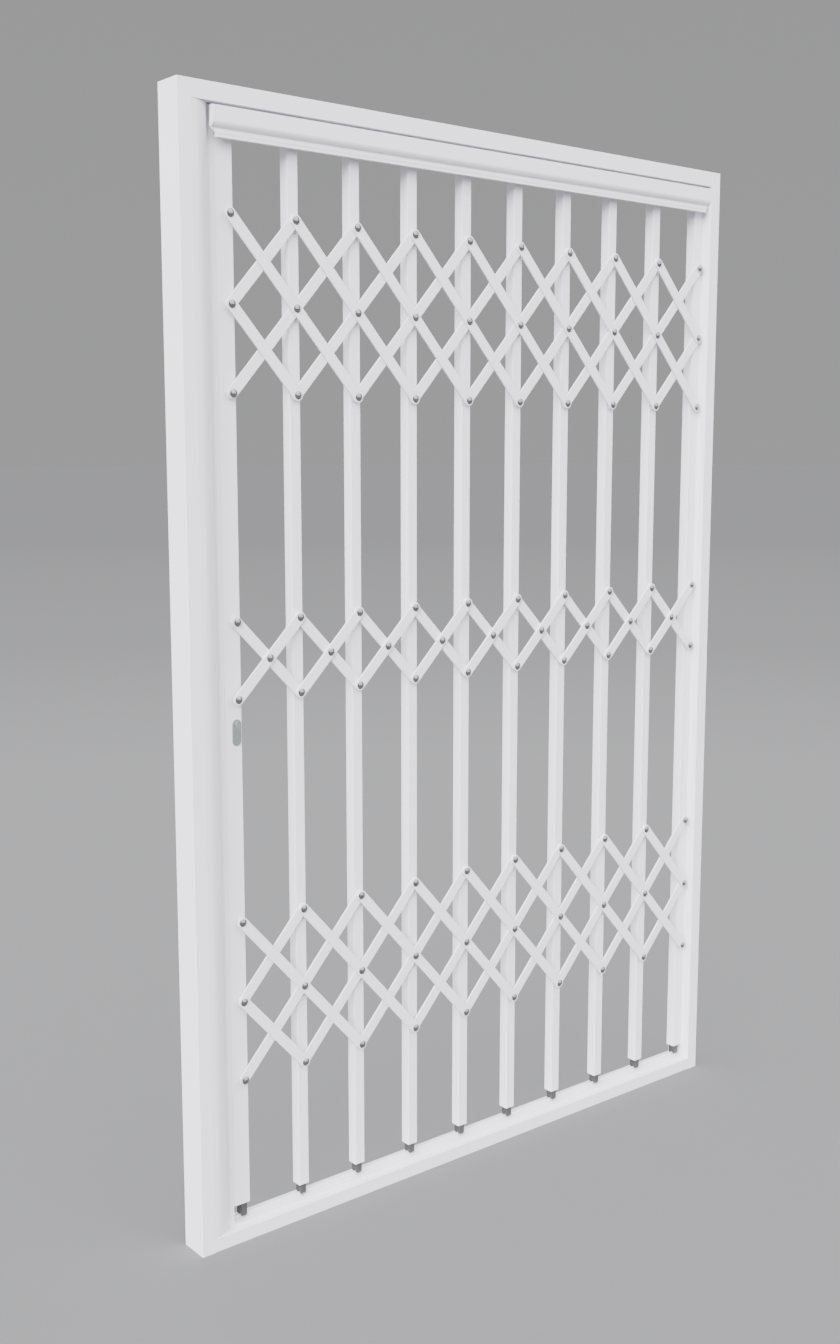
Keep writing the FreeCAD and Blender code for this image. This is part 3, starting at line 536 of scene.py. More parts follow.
def merged(shapes: Iterable[bmesh.types.BMesh]) -> bmesh.types.BMesh:
    """Gathers several shapes in one.

    Args:
        shapes: the shapes, which are used up.

    Returns:
        One shape that holds them all.
    """
    whole = bmesh.new()
    carrier = bpy.data.meshes.new("carrier")
    for shape in shapes:
        shape.to_mesh(carrier)
        shape.free()
        whole.from_mesh(carrier)
    bpy.data.meshes.remove(carrier)
    return whole


def eased(shape: bmesh.types.BMesh, radius: float, wanted: Edges, steps: int = 2,
          ) -> bmesh.types.BMesh:
    """Rounds the wanted edges of a shape.

    Args:
        shape: the shape to change.
        radius: how far each round reaches from its edge.
        wanted: says whether an edge is rounded.
        steps: the number of facets across a round.

    Returns:
        The same shape.
    """
    edges = [edge for edge in shape.edges if len(edge.link_faces) == 2 and wanted(edge)]
    bmesh.ops.bevel(shape, geom=edges, offset=radius, offset_type="OFFSET", segments=steps,
                    profile=0.5, affect="EDGES", clamp_overlap=True, material=-1)
    return shape


def is_crease(edge: bmesh.types.BMEdge) -> bool:
    """Whether an edge turns by more than 40 degrees.

    Args:
        edge: The edge to test.

    Returns:
        True where it does.
    """
    return edge.calc_face_angle(0.0) > math.radians(40)


def block(low: Vector, high: Vector) -> bmesh.types.BMesh:
    """A box between two corners.

    Args:
        low: The lowest corner.
        high: The highest corner.

    Returns:
        The box.
    """
    shape = bmesh.new()
    span = high - low
    place = Matrix.Translation((low + high) / 2) @ Matrix.Diagonal((*span, 1.0))
    bmesh.ops.create_cube(shape, size=1.0, matrix=place)
    return shape


def is_along(edge: bmesh.types.BMEdge, axis: int) -> bool:
    """Whether an edge runs along a row axis.

    Args:
        edge: The edge to test.
        axis: The number of the axis.

    Returns:
        True where it does.
    """
    run = (edge.verts[0].co - edge.verts[1].co).normalized()
    return abs(run[axis]) > 0.99


def tube(low: Vector, high: Vector, wall: float, corner: float, axis: int = 2,
         wanted: Edges | None = None) -> bmesh.types.BMesh:
    """A box tube with open ends between two corners.

    Args:
        low: its lowest corner.
        high: its highest corner.
        wall: its wall's thickness.
        corner: the radius of its long edges.
        axis: the row axis that it runs along.
        wanted: says which long edges are rounded; all of them if left out.

    Returns:
        The tube.
    """
    shape = block(low, high)
    ends = [face for face in shape.faces if abs(face.normal[axis]) > 0.9]
    bmesh.ops.delete(shape, geom=ends, context="FACES_ONLY")
    eased(shape, corner, lambda edge: is_along(edge, axis) and (wanted is None or wanted(edge)), 3)
    return walled(shape, wall)


def walled(shape: bmesh.types.BMesh, wall: float) -> bmesh.types.BMesh:
    """Gives an open skin a wall on its inner side.

    Args:
        shape: The shape that is worked on.
        wall: The thickness of the wall.

    Returns:
        The shape with its wall.
    """
    bmesh.ops.solidify(shape, geom=shape.faces, thickness=wall)
    return shape


def extrusion(corners: Sequence[tuple[float, float]], place: Matrix, length: float,
              capped: bool = True) -> bmesh.types.BMesh:
    """A straight length of a closed section.

    Args:
        corners: the section's corners.
        place: turns the section's plane and puts it in the row frame; the section runs along the
            plane's own Z.
        length: how long it is.
        capped: whether its ends are closed.

    Returns:
        The extruded shape.
    """
    shape = bmesh.new()
    ring = [shape.verts.new((x, y, 0.0)) for x, y in corners]
    for number, vertex in enumerate(ring):
        shape.edges.new((ring[number - 1], vertex))
    if capped:
        bmesh.ops.contextual_create(shape, geom=shape.edges[:])
        grown = bmesh.ops.extrude_face_region(shape, geom=shape.faces[:], use_keep_orig=True)
    else:
        grown = bmesh.ops.extrude_edge_only(shape, edges=shape.edges[:])
    rise = [item for item in grown["geom"] if isinstance(item, bmesh.types.BMVert)]
    bmesh.ops.translate(shape, verts=rise, vec=(0.0, 0.0, length))
    bmesh.ops.recalc_face_normals(shape, faces=shape.faces)
    return moved(shape, place)


def lathe(corners: Sequence[tuple[float, float]], steps: int) -> bmesh.types.BMesh:
    """Turns an open outline about Z.

    Args:
        corners: (radius, height) along the outline.
        steps: the number of facets in a turn.

    Returns:
        The turned shape.
    """
    shape = bmesh.new()
    line = [shape.verts.new((radius, 0.0, height)) for radius, height in corners]
    for first, second in zip(line, line[1:]):
        shape.edges.new((first, second))
    return full_turn(shape, steps)


def full_turn(shape: bmesh.types.BMesh, steps: int) -> bmesh.types.BMesh:
    """Spins an outline in the XZ plane right round Z and closes its seam and poles.

    Args:
        shape: The outline.
        steps: The number of steps in the turn.

    Returns:
        The closed shape.
    """
    bmesh.ops.spin(shape, geom=shape.verts[:] + shape.edges[:], cent=(0, 0, 0), axis=(0, 0, 1),
                   angle=2 * math.pi, steps=steps, use_merge=True, use_duplicate=False)
    bmesh.ops.remove_doubles(shape, verts=shape.verts, dist=1e-6)
    bmesh.ops.recalc_face_normals(shape, faces=shape.faces)
    return shape


def dome_outline(shape: bmesh.types.BMesh, radius: float, rise: float, base: float,
                 steps: int) -> bmesh.types.BMVert:
    """Draws the arc of a dome from its crown to its rim in the XZ plane.

    Args:
        shape: the outline's mesh.
        radius: the dome's radius at its rim.
        rise: how far the crown stands above the rim.
        base: the rim's height.
        steps: the number of edges in the arc.

    Returns:
        The vertex at the rim.
    """
    ball = (radius**2 + rise**2) / (2 * rise)
    crown = shape.verts.new((0.0, 0.0, base + rise))
    swept = bmesh.ops.spin(shape, geom=[crown], cent=(0.0, 0.0, base + rise - ball),
                           axis=(0.0, 1.0, 0.0), angle=math.asin(radius / ball), steps=steps)
    return next(item for item in swept["geom_last"] if isinstance(item, bmesh.types.BMVert))


# ---- frame and guides ----------------------------------------------------------------------------
@dataclass
class WindowFrame:
    """The welded box-section frame: two jambs, a head and a sill."""

    bench: Bench
    wall: float = 2.0 * MM
    edge: float = 0.8 * MM
    members: dict[str, int] = field(default_factory=lambda: {
        "frame_left_jamb": 2, "frame_right_jamb": 2, "frame_head": 0, "frame_sill": 0})

    def build(self) -> None:
        """Builds and dresses the four members."""
        outer_low, outer_high = Vector(CAD_BOX[0]), Vector(CAD_BOX[1])

        def is_outer(edge: bmesh.types.BMEdge) -> bool:
            """Whether an edge lies on the frame's outside.

            Args:
                edge: The edge to test.

            Returns:
                True where it is.
            """
            middle = (edge.verts[0].co + edge.verts[1].co) / 2
            return any(abs(middle[side] - corner[side]) < self.wall
                       for side in (0, 2) for corner in (outer_low, outer_high))

        for node, axis in self.members.items():
            low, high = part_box(node)
            shape = tube(low, high, self.wall, self.edge, axis, is_outer)
            if axis == 2:
                shape = merged([shape, *self.end_plates(low, high)])
            self.bench.piece(shape, f"{node}_tube", FRAME_COAT, Slot.FRAME, "frame", [node])

    def end_plates(self, low: Vector, high: Vector) -> list[bmesh.types.BMesh]:
        """The plates that close a jamb's two ends.

        Args:
            low: The lowest corner.
            high: The highest corner.

        Returns:
            The two plates.
        """
        inset = Vector((self.wall, self.wall, 0.0))
        plates = []
        for level in (low.z, high.z - self.wall):
            plate_low = Vector((low.x, low.y, level)) + inset
            plate_high = Vector((high.x, high.y, level + self.wall)) - inset
            plates.append(block(plate_low, plate_high))
        return plates


@dataclass
class Receiver:
    """The round-nosed upright that the lead stile closes against, with a slot for the hook."""

    bench: Bench
    wall: float = 2.0 * MM
    flat: float = 2.0 * MM
    land: float = 11.5 * MM
    land_level: float = -6.5 * MM
    slot_low: float = 813.0 * MM
    slot_high: float = 852.0 * MM
    slot_front: float = 0.5 * MM
    slot_back: float = 6.5 * MM
    nose_steps: int = 24

    def build(self) -> None:
        """Builds the upright from its skin and cuts the slot in its right wall."""
        low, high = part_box("receiver")
        shape = bmesh.new()
        back_left = shape.verts.new((low.x, high.y, low.z))
        front_left = shape.verts.new((low.x, low.y, low.z))
        nose = shape.verts.new((low.x + self.flat, low.y, low.z))
        run = high.x - self.land - nose.co.x
        drop = self.land_level - low.y
        radius = (run**2 + drop**2) / (2 * drop)
        centre = (nose.co.x, low.y + radius, low.z)
        swept = bmesh.ops.spin(shape, geom=[nose], cent=centre, axis=(0, 0, 1),
                               angle=math.asin(run / radius), steps=self.nose_steps)
        land = next(item for item in swept["geom_last"] if isinstance(item, bmesh.types.BMVert))
        front_right = shape.verts.new((high.x, self.land_level, low.z))
        back_right = shape.verts.new((high.x, high.y, low.z))
        line = [nose, front_left, back_left, back_right, front_right, land]
        for first, second in zip(line, line[1:]):
            shape.edges.new((first, second))
        grown = bmesh.ops.extrude_edge_only(shape, edges=shape.edges[:])
        rise = [item for item in grown["geom"] if isinstance(item, bmesh.types.BMVert)]
        bmesh.ops.translate(shape, verts=rise, vec=(0, 0, high.z - low.z))
        bmesh.ops.recalc_face_normals(shape, faces=shape.faces)
        cut_window(shape, high.x, (self.slot_front, self.slot_low),
                   (self.slot_back, self.slot_high))
        walled(shape, self.wall)
        self.bench.piece(shape, "receiver_upright", FRAME_COAT, Slot.RECEIVER, "frame",
                         ["receiver"])


def cut_window(shape: bmesh.types.BMesh, wall_x: float, low: tuple[float, float],
               high: tuple[float, float]) -> None:
    """Cuts a rectangular window in a skin's wall that faces along X.

    Args:
        shape: the skin.
        wall_x: where the wall is.
        low: the window's lowest (y, z).
        high: its highest (y, z).
    """
    for axis, level in ((1, low[0]), (1, high[0]), (2, low[1]), (2, high[1])):
        face = [item for item in shape.faces
                if all(abs(vertex.co.x - wall_x) < 1e-5 for vertex in item.verts)]
        geometry = face + list({edge for item in face for edge in item.edges})
        geometry += list({vertex for item in face for vertex in item.verts})
        point = Vector((wall_x, low[0], low[1]))
        point[axis] = level
        normal = Vector((0.0, 0.0, 0.0))
        normal[axis] = 1.0
        bmesh.ops.bisect_plane(shape, geom=geometry, plane_co=point, plane_no=normal)
    window = []
    for item in shape.faces:
        centre = item.calc_center_median()
        on_wall = all(abs(vertex.co.x - wall_x) < 1e-5 for vertex in item.verts)
        if on_wall and low[0] < centre.y < high[0] and low[1] < centre.z < high[1]:
            window.append(item)
    bmesh.ops.delete(shape, geom=window, context="FACES")


@dataclass
class HeadTrack:
    """The fascia, groove, lips and wheel channel above the gate, one extrusion."""

    bench: Bench
    fascia_top: float = 1802.7 * MM
    fascia_bottom: float = 1772.2 * MM
    fascia_round: float = 5.0 * MM
    return_depth: float = 14.0 * MM
    setback: float = 4.0 * MM
    groove_depth: float = 3.0 * MM
    lip_top: float = 1768.0 * MM
    lip_thickness: float = 6.0 * MM
    channel: float = 1770.0 * MM
    lip_line: float = 0.8 * MM
    lip_inset: float = 8.5 * MM
    web: float = 10.0 * MM
    wall: float = 2.5 * MM
    slot_front: float = -1.5 * MM
    slot_back: float = 8.5 * MM
    overhang: float = 14.5 * MM
    overhang_depth: float = 9.0 * MM

    def section(self, low: Vector, high: Vector) -> list[tuple[float, float]]:
        """The extrusion's corners, as (y, z), from the slot's front edge round to it again.

        Args:
            low: The lowest corner.
            high: The highest corner.

        Returns:
            The corners in order.
        """
        face = low.y + self.setback
        middle = (self.lip_top + low.z) / 2
        groove = face + self.groove_depth
        back = face + self.lip_thickness
        flange = self.channel + self.wall
        roof = self.fascia_top - self.wall
        return [
            (self.slot_front, self.channel), (back, self.channel), (back, low.z), (face, low.z),
            (face, middle - self.lip_line / 2), (face + self.lip_line, middle - self.lip_line / 2),
            (face + self.lip_line, middle + self.lip_line / 2), (face, middle + self.lip_line / 2),
            (face, self.lip_top), (groove, self.lip_top), (groove, self.fascia_bottom),
            (face, self.fascia_bottom), (low.y, self.fascia_bottom + self.fascia_round),
            (low.y, self.fascia_top), (low.y + self.return_depth, self.fascia_top),
            (low.y + self.return_depth, high.z), (high.y, high.z), (high.y, self.channel),
            (self.slot_back, self.channel), (self.slot_back, flange), (high.y - self.wall, flange),
            (high.y - self.wall, roof), (low.y + self.web, roof), (low.y + self.web, flange),
            (self.slot_front, flange),
        ]

    def build(self) -> None:
        """Extrudes the section, rounds the fascia and trims both ends."""
        low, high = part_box("top_track")
        place = Matrix(((0, 0, 1, low.x), (1, 0, 0, 0), (0, 1, 0, 0), (0, 0, 0, 1)))
        shape = extrusion(self.section(low, high), place, high.x - low.x)

        def is_at(edge: bmesh.types.BMEdge, y: float, z: float) -> bool:
            """Whether an edge runs along the track at y and z.

            Args:
                edge: The edge to test.
                y: The depth.
                z: The height.

            Returns:
                True where it does.
            """
            middle = (edge.verts[0].co + edge.verts[1].co) / 2
            return is_along(edge, 0) and abs(middle.y - y) < 1e-5 and abs(middle.z - z) < 1e-5

        face = low.y + self.setback
        lower = self.fascia_bottom + self.fascia_round
        eased(shape, 3.4 * MM, lambda edge: is_at(edge, low.y, lower), 6)
        eased(shape, 1.2 * MM, lambda edge: is_at(edge, face, self.fascia_bottom), 4)
        eased(shape, 1.0 * MM, lambda edge: is_at(edge, low.y, self.fascia_top), 4)
        eased(shape, 0.5 * MM, lambda edge: is_at(edge, face, self.lip_top)
              or is_at(edge, face, low.z), 3)
        self.trim_ends(shape, low, high)
        bmesh.ops.recalc_face_normals(shape, faces=shape.faces)
        self.bench.piece(shape, "head_track", FRAME_COAT, Slot.TRACK, "frame", ["top_track"])

    def trim_ends(self, shape: bmesh.types.BMesh, low: Vector, high: Vector) -> None:
        """Slopes the lips back from both ends, and clears the receiver behind the fascia.

        Args:
            shape: the extruded track.
            low: its box's lowest corner.
            high: its box's highest corner.
        """
        slope_end = self.lip_top - self.setback
        step = low.y + self.overhang_depth
        cuts = [((0, 0, self.fascia_bottom), (0, 0, 1)), ((0, 0, slope_end), (0, 0, 1)),
                ((0, step, 0), (0, 1, 0)), ((0, step + 1e-5, 0), (0, 1, 0))]
        for point, normal in cuts:
            bmesh.ops.bisect_plane(shape, geom=shape.verts[:] + shape.edges[:] + shape.faces[:],
                                   plane_co=point, plane_no=normal, dist=1e-7)
        for vertex in shape.verts:
            fall = (self.fascia_bottom - vertex.co.z) / (self.fascia_bottom - slope_end)
            inset = self.lip_inset * min(1.0, max(0.0, fall))
            if abs(vertex.co.x - high.x) < 1e-6:
                vertex.co.x -= inset
            elif abs(vertex.co.x - low.x) < 1e-6:
                behind = vertex.co.y > step + 5e-6
                vertex.co.x += max(inset, self.overhang if behind else 0.0)


@dataclass
class SillRail:
    """The flat rail on the sill with the thin upstand that the feet straddle."""

    bench: Bench
    base: float = 4.0 * MM
    upstand: float = 3.0 * MM
    upstand_middle: float = 3.5 * MM
    groove: float = 1.2 * MM
    edge: float = 0.4 * MM

    def build(self) -> None:
        """Extrudes the rail."""
        low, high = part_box("bottom_track")
        front = self.upstand_middle - self.upstand / 2
        back = self.upstand_middle + self.upstand / 2
        step = low.z + self.base
        corners = [(low.y, low.z), (high.y, low.z), (high.y, step), (back, step), (back, high.z),
                   (front, high.z), (front, step - self.groove),
                   (front - self.groove, step - self.groove), (front - self.groove, step),
                   (low.y, step)]
        place = Matrix(((0, 0, 1, low.x), (1, 0, 0, 0), (0, 1, 0, 0), (0, 0, 0, 1)))
        shape = extrusion(corners, place, high.x - low.x)
        eased(shape, self.edge, lambda edge: is_along(edge, 0) and edge.is_convex
              and edge.verts[0].co.z > low.z + self.edge, 3)
        self.bench.piece(shape, "sill_rail", FRAME_COAT, Slot.RAIL, "frame", ["bottom_track"])


# ---- rivets and bars -----------------------------------------------------------------------------
@dataclass(frozen=True)
class Riveting:
    """The sizes of the rivets, bushes and bars, counted forward from the posts' front faces."""

    bush_radius: float = 6.0 * MM
    bush_bore: float = 3.1 * MM
    bush_length: float = 2.6 * MM
    back_layer: float = 2.9 * MM
    front_layer: float = 6.2 * MM
    thickness: float = 3.0 * MM
    width: float = 18.0 * MM
    head_seat: float = 9.3 * MM
    head_radius: float = 6.6 * MM
    head_rim: float = 0.6 * MM
    head_rise: float = 2.4 * MM
    shank: float = 3.0 * MM
    collar: float = 5.0 * MM
    tail_radius: float = 4.5 * MM
    tail_seat: float = 2.8 * MM
    tail_height: float = 1.5 * MM
    facets: int = 20

    def rivet(self, shank_from: float, tail: bool, collar_from: float | None = None,
              headed: bool = True) -> bmesh.types.BMesh:
        """A rivet about Z, its height counted from the post's front face.

        Args:
            shank_from: the height where the shank starts, or the top of a tail half.
            tail: whether it has a formed tail.
            collar_from: the height where a collar starts, if it has one.
            headed: whether it has its domed head.

        Returns:
            The rivet.
        """
        shape = bmesh.new()
        if headed:
            rim = dome_outline(shape, self.head_radius, self.head_rise,
                               self.head_seat + self.head_rim, 5)
            rest = [(self.head_radius, self.head_seat)]
            if collar_from is not None:
                rest += [(self.collar, self.head_seat), (self.collar, collar_from)]
                rest += [(self.shank, collar_from)]
            else:
                rest += [(self.shank, self.head_seat)]
        else:
            rim = shape.verts.new((0.0, 0.0, shank_from))
            rest = [(self.shank, shank_from)]
        if tail:
            end = self.tail_seat - self.tail_height
            rest += [(self.shank, self.tail_seat), (self.tail_radius, self.tail_seat),
                     (self.tail_radius, end + self.tail_height / 3),
                     (self.tail_radius - self.tail_height / 3, end), (0.0, end)]
        else:
            rest += [(self.shank, shank_from), (0.0, shank_from)]
        last = rim
        for radius, height in rest:
            corner = shape.verts.new((radius, 0.0, height))
            shape.edges.new((last, corner))
            last = corner
        return full_turn(shape, self.facets)

    def bush(self) -> bmesh.types.BMesh:
        """The spacer ring behind a pivot's bars."""
        high = self.bush_length
        ease = 0.3 * MM
        return lathe([(self.bush_bore, 0.0), (self.bush_radius, 0.0),
                      (self.bush_radius, high - ease), (self.bush_radius - ease, high),
                      (self.bush_bore, high), (self.bush_bore, 0.0)], self.facets)

    def bar(self, start: float, finish: float, layer: float) -> bmesh.types.BMesh:
        """A flat bar with round ends along X, its thickness rising along Z from its layer.

        Args:
            start: the centre of its first end's round.
            finish: the centre of its other end's round.
            layer: the height of its back face.

        Returns:
            The bar.
        """
        shape = bmesh.new()
        steps = 32
        half_step = Matrix.Rotation(math.pi / steps, 4, "Z")
        lift = Matrix.Translation((0.0, 0.0, layer))
        bmesh.ops.create_circle(shape, cap_ends=True, radius=self.width / 2, segments=steps,
                                matrix=lift @ half_step)
        for side, shift in ((-1, start), (1, finish)):
            verts = [vertex for vertex in shape.verts if vertex.co.x * side > 0]
            bmesh.ops.translate(shape, verts=verts, vec=(shift, 0.0, 0.0))
        grown = bmesh.ops.extrude_face_region(shape, geom=shape.faces[:], use_keep_orig=True)
        rise = [item for item in grown["geom"] if isinstance(item, bmesh.types.BMVert)]
        bmesh.ops.translate(shape, verts=rise, vec=(0.0, 0.0, self.thickness))
        bmesh.ops.recalc_face_normals(shape, faces=shape.faces)
        return eased(shape, 0.45 * MM, is_crease, 2)


RIVETING = Riveting()


def facing_front(x: float, z: float, front: float, turn: float = 0.0) -> Matrix:
    """Puts a shape that rises along Z on a post's front face, turned about its pivot.

    Args:
        x: The pivot's place along X.
        z: The pivot's height.
        front: The depth of the face.
        turn: The angle about the pivot.

    Returns:
        The transform.
    """
    return Matrix.Translation((x, front, z)) @ Matrix.Rotation(turn, 4, "Y") @ ALONG_Y


@dataclass
class DoubleLattice:
    """Twenty bars on one row of pivots, a front and a back layer, with their end rivets."""

    bench: Bench
    row: str
    front: float
    link: float = 180.0 * MM
    pitch: float = 120.0 * MM

    def build(self) -> None:
        """Builds and dresses every bar of the row."""
        angle = math.acos(self.pitch / self.link)
        pivots = {joint["child"]: joint for joint in frame["joints"]}
        for number in range(BAYS + 1):
            for side, slope in (("front", 1), ("back", -1)):
                node = f"{self.row}_{side}_bar_{number}"
                pivot = pivots[node]["pos_m"]
                turn = slope * angle + (math.pi if number == BAYS else 0.0)
                ends = [self.link] if number in (0, BAYS) else [-self.link, self.link]
                place = facing_front(pivot[0], pivot[2], self.front, turn)
                self.bar(node, side, ends, place)
                self.end_rivets(node, side, number, ends, place)

    def bar(self, node: str, side: str, ends: list[float], place: Matrix) -> None:
        """Builds one flat bar.

        Args:
            node: the CAD node that it stands for.
            side: the layer, front or back.
            ends: where its end rivets are along it.
            place: its place.
        """
        layer = RIVETING.front_layer if side == "front" else RIVETING.back_layer
        start = min(0.0, *ends) if len(ends) > 1 else 0.0
        shape = moved(RIVETING.bar(start, max(ends), layer), place)
        self.bench.piece(shape, f"{node}_plate", BAR_COAT, Slot.BAR, node, [node])

    def end_rivets(self, node: str, side: str, number: int, ends: list[float],
                   place: Matrix) -> None:
        """Builds the parts of the end rivets that turn with a bar.

        Args:
            node: the bar's CAD node and body.
            side: the layer, front or back.
            number: the bar's column.
            ends: where its end rivets are along it.
            place: the bar's place.
        """
        shapes = []
        for end in ends:
            at_edge = (number == 1 and end < 0) or (number == BAYS - 1 and end > 0)
            if side == "front":
                shape = RIVETING.rivet(RIVETING.front_layer, tail=False)
            elif at_edge:
                collar = RIVETING.back_layer + RIVETING.thickness + 0.1 * MM
                shape = RIVETING.rivet(collar, tail=True, collar_from=collar)
            else:
                top = RIVETING.back_layer + RIVETING.thickness
                shape = RIVETING.rivet(top, tail=True, headed=False)
            shapes.append(moved(shape, place @ Matrix.Translation((end, 0.0, 0.0))))
        self.bench.piece(merged(shapes), f"{node}_rivets", RIVET_STEEL, Slot.RIVET, node)


@dataclass
class MiddleLattice:
    """One row of crosses between the uprights; each bar reaches from one upright to the next."""

    bench: Bench
    front: float
    columns: list[float]
    row: float = 1030.0 * MM
    link: float = 172.0 * MM
    pitch: float = 120.0 * MM
    rigid: float = 12.0 * MM

    def build(self) -> None:
        """Builds the crosses and the rivets that lie between or below the pivots."""
        angle = math.acos(self.pitch / self.link)
        drop = self.link * math.sin(angle)
        bodies = ["lead_stile", *(f"picket_{number}" for number in range(1, BAYS)), "frame"]
        for bay in range(BAYS):
            left, right = self.columns[bay], self.columns[bay + 1]
            start = Vector((left + self.rigid, 0.0, 0.0))
            finish = Vector((right - self.rigid, 0.0, 0.0))
            joins = (bodies[bay + 1], start, finish)
            falling = moved(RIVETING.bar(0.0, self.link, RIVETING.back_layer),
                            facing_front(left, self.row, self.front, angle))
            rising = moved(RIVETING.bar(0.0, self.link, RIVETING.front_layer),
                           facing_front(right, self.row, self.front, math.pi - angle))
            replaced = ["middle_lattice"] if bay == 0 else []
            self.bench.piece(falling, f"middle_falling_bar_{bay}", BAR_COAT, Slot.BAR,
                             bodies[bay], replaced, joins)
            self.bench.piece(rising, f"middle_rising_bar_{bay}", BAR_COAT, Slot.BAR,
                             bodies[bay], (), joins)
            middle = Vector(((left + right) / 2, 0.0, 0.0))
            far = Vector((10.0, 0.0, 0.0))
            place = facing_front(middle.x, self.row - drop / 2, self.front)
            self.bench.piece(moved(RIVETING.rivet(0.0, tail=True), place),
                             f"middle_cross_rivet_{bay}", RIVET_STEEL, Slot.RIVET, bodies[bay], (),
                             (bodies[bay + 1], middle - far, middle + far))
        for body, column in zip(bodies, self.columns):
            place = facing_front(column, self.row - drop, self.front)
            self.bench.piece(moved(RIVETING.rivet(0.0, tail=True), place),
                             f"middle_lower_rivet_on_{body}", RIVET_STEEL, Slot.RIVET, body)


